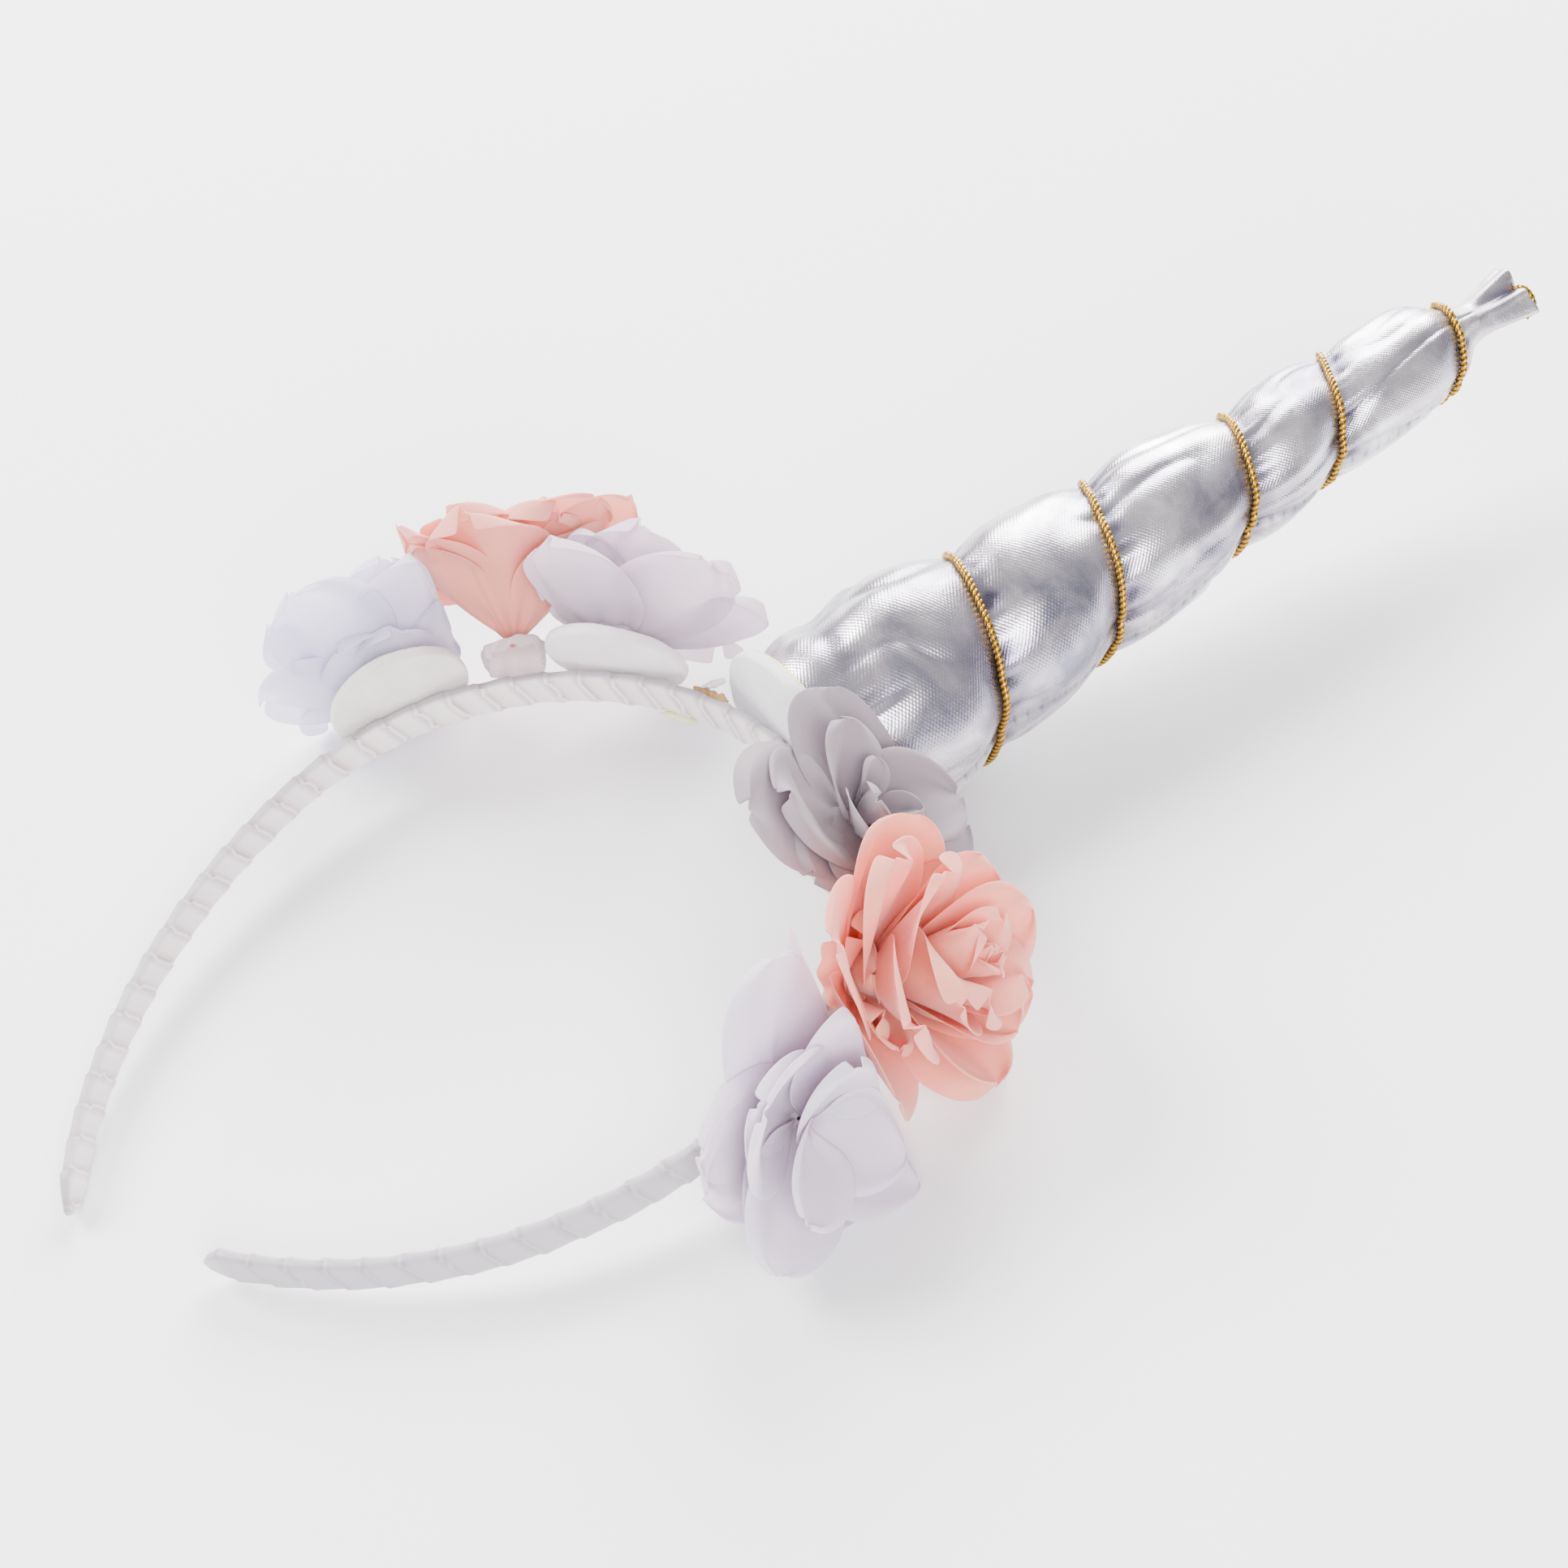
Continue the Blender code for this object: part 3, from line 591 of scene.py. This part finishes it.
def gold_cord():
    """The cord lies in the horn's groove, then runs through the tuft and ends over its rim."""
    points = []
    for i in range(CORD_STEPS + 1):
        turn = CORD_FIRST_TURN + (CORD_LAST_TURN - CORD_FIRST_TURN) * i / CORD_STEPS
        angle = CORD_FACING_ANGLE - math.tau * turn
        distance = turn_place(turn)
        radius, _ = horn_surface(distance, angle)
        near = [horn_surface(distance + d, angle)[0] for d in (-0.0006, 0.0006)]
        points.append(horn_point(distance, max(radius, *near) + CORD_RISE, angle))
    angle = CORD_FACING_ANGLE - math.tau * CORD_LAST_TURN
    tail = [
        points[-1], horn_point(0.1530, 0.0046, angle - 0.5), horn_point(0.1555, 0.0022, angle - 1.2),
        horn_point(0.1600, 0.0010, angle - 2.0), horn_point(0.1636, 0.0012, math.radians(290)),
        horn_point(0.1652, 0.0032, math.radians(300)), horn_point(0.1654, 0.0044, math.radians(335)),
        horn_point(0.1646, 0.0054, math.radians(358)), horn_point(0.1630, 0.0052, math.radians(12)),
    ]
    for i in range(len(tail) - 1):
        p, q = tail[max(0, i - 1)], tail[i]
        r, w = tail[i + 1], tail[min(len(tail) - 1, i + 2)]
        for k in range(1, 9):
            t = k / 8
            points.append(
                q * 1.0 + (r - p) * (0.5 * t) + (p * 2 - q * 5 + r * 4 - w) * (0.5 * t * t)
                + (q * 3 - p - r * 3 + w) * (0.5 * t ** 3)
            )
    made = swept(points, twisted_section, "gold_cord_twist", gold_material())
    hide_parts("gold_cord")
    return made


def bead(name, points, size, look, seed):
    """A run of set glue: an uneven bead along a few points."""
    points = [Vector(q) for q in points]
    steps, around = 44, 14
    verts = []
    for i in range(steps):
        t = i / (steps - 1)
        place = t * (len(points) - 1)
        k = min(int(place), len(points) - 2)
        centre = points[k].lerp(points[k + 1], place - k)
        run = (points[k + 1] - points[k]).normalized()
        out = Vector((0, -1, 0)) - run * run.dot(Vector((0, -1, 0)))
        out = out.normalized()
        side = run.cross(out)
        taper = math.sin(math.pi * (0.06 + 0.88 * t)) ** 0.6
        girth = size * taper * (1 + 0.5 * noise3((t * 7, 0.2, 0.4), seed))
        for j in range(around):
            a = math.tau * j / around
            lump = girth * (1 + 0.3 * noise3((math.cos(a), math.sin(a), t * 9), seed + 2))
            verts.append(centre + side * (math.cos(a) * lump) + out * (math.sin(a) * lump))
    return make(name, verts, tube_faces(steps, around), look)


def band_spot(arc, y, out):
    """Point on the crown: degrees from its top, metres across it, metres out from the strip's middle."""
    arc = math.radians(arc)
    normal = Vector((math.sin(arc), 0, math.cos(arc)))
    return normal * (CROWN_RADIUS + out) + Vector((0, y, -CROWN_RADIUS))


def glue():
    brown = glue_material("glue_amber", (0.46, 0.27, 0.09), (0.22, 0.11, 0.03))
    cream = glue_material("glue_cream", (0.80, 0.72, 0.45), (0.70, 0.60, 0.30))
    green = glue_material("glue_pale", (0.72, 0.74, 0.40), (0.62, 0.62, 0.26))
    clear = glue_material("glue_white", (0.84, 0.80, 0.80), (0.74, 0.68, 0.70))
    on_band = [band_spot(a, -0.0033, 0.0012) for a in (-15, -13, -11, -9, -7.5)]
    under_band = [band_spot(a, 0.0034, -0.0012) for a in (-22, -19, -16, -14)]
    tail = [band_spot(-14 + k, -0.0031, 0.0012 + 0.0013 * k) for k in range(4)]
    bead("glue_on_band", on_band, 0.0007, brown, 1.0)
    bead("glue_under_band", under_band, 0.0006, green, 4.0)
    bead("glue_tail", tail, 0.0007, clear, 7.0)
    seat, side, down, along = HORN_AXES
    rim = []
    for k in range(12):
        a = math.radians(212 + 9 * k)
        radial = side * math.cos(a) + down * math.sin(a)
        rim.append(seat + along * (DISC_THICKNESS + 0.0001) + radial * 0.0199)
    bead("glue_round_horn", rim, 0.0004, cream, 9.0)


def plate(name, centre, axes, radius, thickness, look, seed, sag=0.0004, floor_cut=False):
    """A cut felt round: soft edge, slightly uneven outline and surface."""
    side, up, out = axes
    around, rings = 96, 14
    verts, profile = [], []
    for i in range(rings):
        t = i / (rings - 1)
        profile.append((t * (radius - FELT_EDGE), 0.0))
    for a in np.linspace(0.2, math.pi - 0.2, 7):
        profile.append((radius - FELT_EDGE + FELT_EDGE * math.sin(a), (thickness / 2) * (1 - math.cos(a))))
    for i in reversed(range(rings)):
        t = i / (rings - 1)
        profile.append((t * (radius - FELT_EDGE), thickness))
    for r, h in profile:
        for j in range(around):
            a = math.tau * j / around
            c, s = math.cos(a), math.sin(a)
            bumpy = 1 + 0.006 * noise3((c * 3, s * 3, 0), seed) + 0.003 * noise3((c * 12, s * 12, 0), seed)
            lift = sag * (r / radius) ** 2 * noise3((c * 1.2, s * 1.2, 0.3), seed + 4)
            lift += 0.00012 * noise3((c * r * 900, s * r * 900, h * 400), seed)
            verts.append(centre + (side * c + up * s) * (max(r, 0.00002) * bumpy) + out * (h + lift))
    if floor_cut:
        verts = [v - TABLE_SIDE * max(0.0, TABLE_SIDE.dot(v) - FELT_LIMIT) for v in verts]
    return make(name, verts, tube_faces(len(profile), around), look)


def horn_disc(look):
    seat, *axes = HORN_AXES
    made = plate("horn_base_felt", seat, axes, DISC_RADIUS, DISC_THICKNESS, look, 1.0, floor_cut=True)
    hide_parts("horn_base_disc")
    return made


def flower_axes(row):
    """Where a flower stands on the band, and its directions along the band, across it and out."""
    arc = math.radians(row["arc"])
    lean = math.radians(row["lean"])
    normal = Vector((math.sin(arc), 0, math.cos(arc)))
    up = Vector((0, -1, 0))
    out = normal * math.cos(lean) + up * math.sin(lean)
    across = up * math.cos(lean) - normal * math.sin(lean)
    tangent = across.cross(out)
    surface = Vector((0, 0, -CROWN_RADIUS)) + normal * (CROWN_RADIUS + BAND_THICKNESS / 2)
    seat = surface + out * (BAND_WIDTH / 2 * math.sin(lean) + GAP) + across * row["shift"]
    return seat, (tangent, across, out)


def pads():
    look_far = felt_material("felt_ivory", (0.80, 0.76, 0.71), (0.66, 0.61, 0.56))
    look_pink = felt_material("felt_rosy", (0.82, 0.75, 0.76), (0.70, 0.61, 0.62))
    for name, row in FLOWERS.items():
        if row["padded"]:
            seat, axes = flower_axes(row)
            node = name.replace("flower", "pad")
            look = look_pink if "lilac" in name else look_far
            made = plate(node + "_felt", seat, axes, PAD_RADIUS, PAD_THICKNESS, look, len(name) * 1.3, 0.0006)
            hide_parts(node)


# Flowers: each petal is a fine grid, wrapped about the bloom's axis, then cupped, folded and curled.
# A ring's row is its count of petals and then what PETAL_KEYS says. Facing, the steepness at root and tip, and
# the curl that bends the rim back are in degrees. Length, half width and the lift of the root are in metres.
PETAL_KEYS = ("at", "long", "wide", "root", "tip", "curl", "lift")
PETAL_RINGS = {
    "flower_far_lilac": (
        (6, 10, 0.0270, 0.0155, 8, 40, 20, 0.0010),
        (5, 40, 0.0230, 0.0140, 32, 62, 26, 0.0022),
        (3, 0, 0.0170, 0.0100, 55, 84, 16, 0.0030),
    ),
    "flower_far_pink": (
        (5, 90, 0.0278, 0.0165, 40, 46, 50, 0.0042),
        (5, 0, 0.0278, 0.0155, 50, 64, 60, 0.0042),
        (4, 50, 0.0270, 0.0140, 64, 86, 54, 0.0035),
        (2, 20, 0.0240, 0.0120, 76, 98, 20, 0.0045),
    ),
    "flower_far_white": (
        (6, 0, 0.0265, 0.0150, 8, 42, 24, 0.0010),
        (5, 35, 0.0235, 0.0135, 30, 60, 30, 0.0022),
        (4, 10, 0.0175, 0.0100, 55, 82, 16, 0.0032),
    ),
    "flower_near_grey": (
        (4, 16, 0.0235, 0.0185, 6, 30, 10, 0.0010),
        (3, 48, 0.0190, 0.0155, 26, 48, 12, 0.0024),
        (3, 20, 0.0120, 0.0085, 48, 78, 10, 0.0030),
    ),
    "flower_near_peach": (
        (5, 46, 0.0300, 0.0175, 22, 40, 14, 0.0010),
        (5, 14, 0.0290, 0.0165, 42, 58, 12, 0.0026),
        (4, 70, 0.0275, 0.0155, 54, 74, 14, 0.0036),
        (4, 10, 0.0260, 0.0135, 66, 88, 8, 0.0044),
        (3, 80, 0.0240, 0.0110, 78, 98, 6, 0.0050),
    ),
    "flower_near_white": (
        (4, 120, 0.0240, 0.0180, 22, 38, 4, 0.0032),
        (3, 66, 0.0180, 0.0160, 34, 48, 4, 0.0052),
    ),
}
# Single petals apart from the rings: as PETAL_KEYS says
LONE_PETALS = {
    "flower_far_pink": (
        (180, 0.0328, 0.0160, 54, 38, 34, 0.0042),
        (148, 0.0310, 0.0150, 52, 44, 40, 0.0044),
        (212, 0.0320, 0.0150, 52, 42, 40, 0.0046),
        (20, 0.0308, 0.0160, 46, 34, 30, 0.0042),
        (-30, 0.0300, 0.0150, 50, 36, 30, 0.0044),
    ),
    "flower_far_white": (
        (62, 0.0150, 0.0130, 4, 22, 16, 0.0008),
        (104, 0.0145, 0.0130, 4, 24, 16, 0.0012),
    ),
    "flower_near_grey": (
        (112, 0.0255, 0.0195, 2, 8, 8, 0.0026),
        (156, 0.0225, 0.0185, 2, 10, 8, 0.0014),
    ),
    "flower_near_white": (
        (40, 0.0340, 0.0150, 8, -2, 8, 0.0010),
        (76, 0.0290, 0.0150, 10, 8, 12, 0.0016),
        (118, 0.0235, 0.0150, 16, 46, 16, 0.0020),
        (146, 0.0205, 0.0170, 2, 12, 14, 0.0010),
        (182, 0.0195, 0.0170, 2, 12, 14, 0.0014),
        (216, 0.0255, 0.0160, 12, 38, 18, 0.0018),
        (264, 0.0265, 0.0155, 10, 34, 22, 0.0010),
        (316, 0.0250, 0.0155, 12, 34, 22, 0.0016),
        (2, 0.0250, 0.0150, 12, 40, 14, 0.0022),
    ),
    "flower_near_peach": (
        (128, 0.0150, 0.0110, 20, 78, 0, 0.0008),
        (168, 0.0160, 0.0110, 16, 70, 0, 0.0006),
        (206, 0.0170, 0.0110, 20, 66, 0, 0.0010),
        (92, 0.0150, 0.0110, 24, 72, 0, 0.0012),
    ),
}
# How strongly a flower's petals ripple and fold, where that isn't 1
FOLD_FULLNESS = {"flower_near_grey": 0.6, "flower_near_peach": 0.8, "flower_near_white": 0.5}
# Colours of a petal's rim, middle, root and cloudy tint, and how much light passes straight through the rim;
# the root colour is painted shade at the flower's heart
FLOWER_COLOURS = {
    "flower_far_lilac": (
        (0.80, 0.71, 0.80), (0.69, 0.60, 0.69), (0.42, 0.33, 0.42),
        (0.78, 0.65, 0.74), 0.24,
    ),
    "flower_far_pink": (
        (0.97, 0.48, 0.41), (0.92, 0.37, 0.30), (0.66, 0.17, 0.12),
        (0.98, 0.54, 0.36), 0.08,
    ),
    "flower_far_white": (
        (0.86, 0.84, 0.94), (0.78, 0.75, 0.88), (0.50, 0.44, 0.60),
        (0.78, 0.77, 0.92), 0.26,
    ),
    "flower_near_grey": (
        (0.44, 0.38, 0.42), (0.36, 0.30, 0.34), (0.09, 0.06, 0.08),
        (0.40, 0.34, 0.38), 0.04,
    ),
    "flower_near_peach": (
        (0.97, 0.46, 0.38), (0.92, 0.34, 0.26), (0.50, 0.08, 0.05),
        (0.99, 0.54, 0.34), 0.05,
    ),
    "flower_near_white": (
        (0.87, 0.81, 0.87), (0.78, 0.71, 0.80), (0.46, 0.37, 0.48),
        (0.79, 0.74, 0.90), 0.18,
    ),
}
# Reach over which cloth eases off before a limit, and the room it keeps to horn and disc
SOFT = 0.0035
HORN_ROOM = 0.0008
DISC_ROOM_RADIUS = 0.0210
PARTING_LIFT = 0.0025
# Petal mesh and cloth
PETAL_COLUMNS = 17
PETAL_ROWS = 16
PETAL_STAGGER = 0.00025
CLOTH_THICKNESS = 0.00022
# Heights of a petal's folds: ripple along its rim, pleats at its root, crumples, camber and rolled sides
WAVE = 0.0012
PLEAT = 0.0007
CRUMPLE = 0.0013
CAMBER = 0.0022
ROLL = 0.0022


def soft_limit(over):
    """Eases a distance towards zero: what would pass the limit piles up softly just before it."""
    if over < -SOFT:
        return over
    return -SOFT * math.exp(-(over + SOFT) / SOFT)


def press(point, origin, normal):
    """Moves a point softly back behind the plane through origin."""
    over = normal.dot(point - origin)
    return point + normal * (soft_limit(over) - over)


def parting_planes(name):
    """The planes that a flower stays behind: a point on each and the side away from the flower."""
    planes = []
    for low, high, arc, lean in PARTINGS:
        if name not in (low, high):
            continue
        arc, lean = math.radians(arc), math.radians(lean)
        normal = Vector((math.sin(arc), 0, math.cos(arc)))
        tangent = Vector((math.cos(arc), 0, -math.sin(arc)))
        origin = normal * (CROWN_RADIUS + BAND_THICKNESS / 2 + PARTING_LIFT) - Vector((0, 0, CROWN_RADIUS))
        towards_high = tangent * math.cos(lean) - normal * math.sin(lean)
        planes.append((origin, towards_high if name == low else -towards_high))
    return planes


def keep_clear(point, planes):
    """Presses a petal point softly back from the neighbours, the table, and the horn with its disc."""
    for origin, normal in planes:
        point = press(point, origin, normal)
    point = press(point, TABLE_SIDE * TABLE_LIMIT, TABLE_SIDE)
    seat, _, _, along = HORN_AXES
    local = point - seat
    height = local.dot(along)
    if -0.0020 < height < 0.15:
        radial = local - along * height
        limit = DISC_ROOM_RADIUS
        if height > DISC_THICKNESS + HORN_ROOM:
            limit = horn_radius(height - DISC_THICKNESS) + HORN_ROOM
        over = limit - radial.length
        if over > -SOFT:
            point = seat + along * height + radial.normalized() * (limit - soft_limit(over))
    return point


def petal_width(v):
    """Half width along a petal as a share of the widest: narrow root, full middle, round end."""
    root = 0.26 + 0.74 * math.sin(math.pi / 2 * min(1.0, v / 0.60)) ** 1.2
    past = max(0.0, (v - 0.50) / 0.50)
    return root * max(0.10, (1 - past ** 2.8) ** 0.45 if past < 1 else 0.10)


def add_petal(cloth, base, axes, spec, facing, rng, planes, fullness):
    tangent, across, out = axes
    nu, nv = PETAL_COLUMNS, PETAL_ROWS
    seed = rng.uniform(0, 50)
    reach = spec["long"] * rng.uniform(0.93, 1.05)
    wide = spec["wide"] * rng.uniform(0.92, 1.08)
    root = math.radians(spec["root"] + rng.uniform(-6, 6))
    tip = math.radians(spec["tip"] + rng.uniform(-9, 9))
    curl = math.radians(spec["curl"] * rng.uniform(0.6, 1.35))
    tilt = rng.uniform(-0.12, 0.12)
    wave = WAVE * rng.uniform(0.6, 1.5)
    lean_fold = rng.uniform(-0.35, 0.35)
    first = len(cloth["verts"])
    run, rise, before = 0.0004, spec["lift"], 0.0
    for i in range(nv):
        v = 1 - (1 - i / (nv - 1)) ** 1.5
        ease = v * v * (3 - 2 * v)
        cup = root + (tip - root) * ease - curl * max(0.0, (v - 0.55) / 0.45) ** 1.8
        run += reach * (v - before) * math.cos(cup)
        rise += reach * (v - before) * math.sin(cup)
        before = v
        broad = petal_width(v)
        for j in range(nu):
            u = 2 * j / (nu - 1) - 1
            x = wide * broad * u
            angle = facing + x / (abs(run) + 0.0032) + tilt * v
            sway = wave * v * (math.sin(3.2 * u + seed) + 0.55 * v * math.sin(7.5 * u + 2 * seed))
            pleat = PLEAT * math.sin(11 * u + seed) * (1 - v) ** 2 * min(1.0, 8 * v)
            crumple = CRUMPLE * v * noise3((u * 1.3, v * 2.2, seed))
            camber = CAMBER * abs(u - lean_fold) ** 1.3 * math.sin(math.pi * v) ** 0.8
            roll = -ROLL * max(0.0, (abs(u) - 0.6) / 0.4) ** 2 * v
            offset = (sway + pleat + crumple + camber + roll) * fullness
            radial = tangent * math.cos(angle) + across * math.sin(angle)
            face = out * math.cos(cup) - radial * math.sin(cup)
            point = base + radial * run + out * max(0.0002, rise) + face * offset
            cloth["verts"].append(keep_clear(point, planes))
            cloth["uv"].append((u * wide, v * reach))
            # depth runs from root to rim: it sets the painted shade at the heart and how sheer the rim is
            cloth["depth"].append(0.06 + 0.94 * v)
    for i in range(nv - 1):
        for j in range(nu - 1):
            a = first + i * nu + j
            cloth["faces"].append((a, a + 1, a + nu + 1, a + nu))


def add_knot(cloth, seat, axes, planes, radius, height, seed):
    """The gathered cloth under the petals: a low pleated dome that stands on the band."""
    tangent, across, out = axes
    around, rings = 60, 10
    first = len(cloth["verts"])
    for i in range(rings):
        v = i / (rings - 1)
        for j in range(around):
            a = math.tau * j / around
            c, s = math.cos(a), math.sin(a)
            folds = 1 + 0.10 * math.cos(9 * a + 3 * noise3((c, s, 0.5), seed)) * (1 - v)
            reach = radius * (math.cos(math.pi / 2 * v ** 1.5) * 0.96 + 0.04) * folds
            up = 0.0002 + height * math.sin(math.pi / 2 * v) + 0.0005 * noise3((c * 2, s * 2, v * 3), seed)
            point = seat + (tangent * c + across * s) * reach + out * max(0.0002, up)
            cloth["verts"].append(keep_clear(point, planes))
            cloth["uv"].append((a * radius, v * height))
            # Painted shade on the knot: darker in the valleys between its folds
            cloth["depth"].append(0.30 + 0.10 * math.cos(9 * a))
    for i in range(rings - 1):
        for j in range(around):
            k = (j + 1) % around
            a, b = first + i * around, first + (i + 1) * around
            cloth["faces"].append((a + j, a + k, b + k, b + j))


def flower(name, look):
    """Petals in rings and single ones over a gathered heart, all one sheet of cloth."""
    seat, axes = flower_axes(FLOWERS[name])
    base = seat + axes[2] * (PAD_THICKNESS + GAP if FLOWERS[name]["padded"] else 0.0003)
    rng = random.Random(name)
    cloth = {"verts": [], "faces": [], "uv": [], "depth": []}
    planes = parting_planes(name)
    fullness = FOLD_FULLNESS.get(name, 1.0)
    for row in PETAL_RINGS[name]:
        ring = dict(zip(("count", *PETAL_KEYS), row))
        for k in range(ring["count"]):
            facing = math.radians(ring["at"] + rng.uniform(-8, 8)) + math.tau * k / ring["count"]
            spec = {**ring, "lift": ring["lift"] + k * PETAL_STAGGER}
            add_petal(cloth, base, axes, spec, facing, rng, planes, fullness)
    if name != "flower_far_pink":
        add_knot(cloth, base, axes, planes, 0.0070, 0.0036, len(name))
    for row in LONE_PETALS.get(name, ()):
        spec = dict(zip(PETAL_KEYS, row))
        add_petal(cloth, base, axes, spec, math.radians(spec["at"]), rng, planes, fullness)
    made = make(name + "_petals", cloth["verts"], cloth["faces"], look, cloth["uv"], depth=cloth["depth"])
    wall = made.modifiers.new("cloth", "SOLIDIFY")
    wall.thickness = CLOTH_THICKNESS
    wall.offset = 0
    smooth = made.modifiers.new("soft", "SUBSURF")
    smooth.levels = 1
    smooth.render_levels = 1
    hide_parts(name)
    return made


def flowers():
    for name, colours in FLOWER_COLOURS.items():
        flower(name, chiffon_material(name + "_chiffon", *colours))
    name = "flower_far_pink"
    seat, axes = flower_axes(FLOWERS[name])
    cloth = {"verts": [], "faces": [], "uv": [], "depth": []}
    add_knot(cloth, seat, axes, parting_planes(name), 0.0074, 0.0050, 5.0)
    tones = ((0.76, 0.69, 0.69), (0.66, 0.58, 0.59), (0.48, 0.40, 0.42), (0.70, 0.63, 0.64), 0.0)
    look = chiffon_material("knot_chiffon", *tones)
    make(name + "_knot", cloth["verts"], cloth["faces"], look, cloth["uv"], depth=cloth["depth"])


def studio():
    """Plain pale floor, soft light from above and both sides."""
    t = Tree("studio_paper")
    place = t.object_place()
    cloud = t.noise(place, 3, 2)
    t.shade(
        Base_Color=t.ramp(cloud, ((0.3, (0.93, 0.93, 0.94)), (0.7, (0.95, 0.95, 0.955)))), Roughness=0.9,
        Specular_IOR_Level=0.1,
    )
    reach = 4.0
    verts = [(-reach, -reach, 0), (reach, -reach, 0), (reach, reach, 0), (-reach, reach, 0)]
    mesh = bpy.data.meshes.new("floor")
    mesh.from_pydata(verts, [], [(0, 1, 2, 3)])
    mesh.materials.append(t.material)
    floor = bpy.data.objects.new("floor", mesh)
    bpy.context.scene.collection.objects.link(floor)
    for spot, size, power, colour in (
        ((-0.75, 1.05, 0.75), 1.3, 86.0, (1.0, 1.0, 1.0)),
        ((-1.1, -0.5, 1.1), 1.0, 65.0, (1.0, 0.985, 0.985)),
        ((0.95, -0.55, 0.8), 0.8, 34.0, (0.99, 0.98, 1.0)),
    ):
        lamp = bpy.data.lights.new("soft_light", "AREA")
        lamp.shape = "DISK"
        lamp.size = size
        lamp.energy = power
        lamp.color = colour
        holder = bpy.data.objects.new("soft_light", lamp)
        bpy.context.scene.collection.objects.link(holder)
        holder.location = spot
        aim = Vector((0, 0, 0.02)) - Vector(spot)
        holder.rotation_euler = aim.to_track_quat("-Z", "Y").to_euler()
    world = bpy.data.worlds.new("studio_air")
    bpy.context.scene.world = world
    world.use_nodes = True
    background = world.node_tree.nodes["Background"]
    background.inputs["Color"].default_value = (0.97, 0.95, 1.0, 1.0)
    background.inputs["Strength"].default_value = 0.6


def camera():
    """The photo's camera, from a fit to its outlines. The focal length was fitted in pixels of the frame."""
    lens = bpy.data.cameras.new("photo_camera")
    lens.sensor_width = 36.0
    lens.lens = 36.0 * 3494.25 / 1932
    lens.clip_start = 0.01
    lens.dof.use_dof = False
    eye = bpy.data.objects.new("photo_camera", lens)
    bpy.context.scene.collection.objects.link(eye)
    right = direction((0.68657, 0.16032, 0.70917))
    up = direction((-0.47445, -0.64031, 0.60407))
    back = right.cross(up)
    turn = Matrix((right, up, back)).transposed().to_4x4()
    eye.matrix_world = Matrix.Translation(head((0.27881, -0.36438, -0.18104))) @ turn
    bpy.context.scene.camera = eye


camera()
studio()
headband()
horn()
gold_cord()
felt = felt_material("felt_white", (0.80, 0.78, 0.81), (0.65, 0.63, 0.67))
horn_disc(felt)
glue()
pads()
flowers()
for item in bpy.context.scene.objects:
    if item.type == "MESH" and item.name != "floor" and item.name not in frame["nodes"]:
        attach(item, "root")
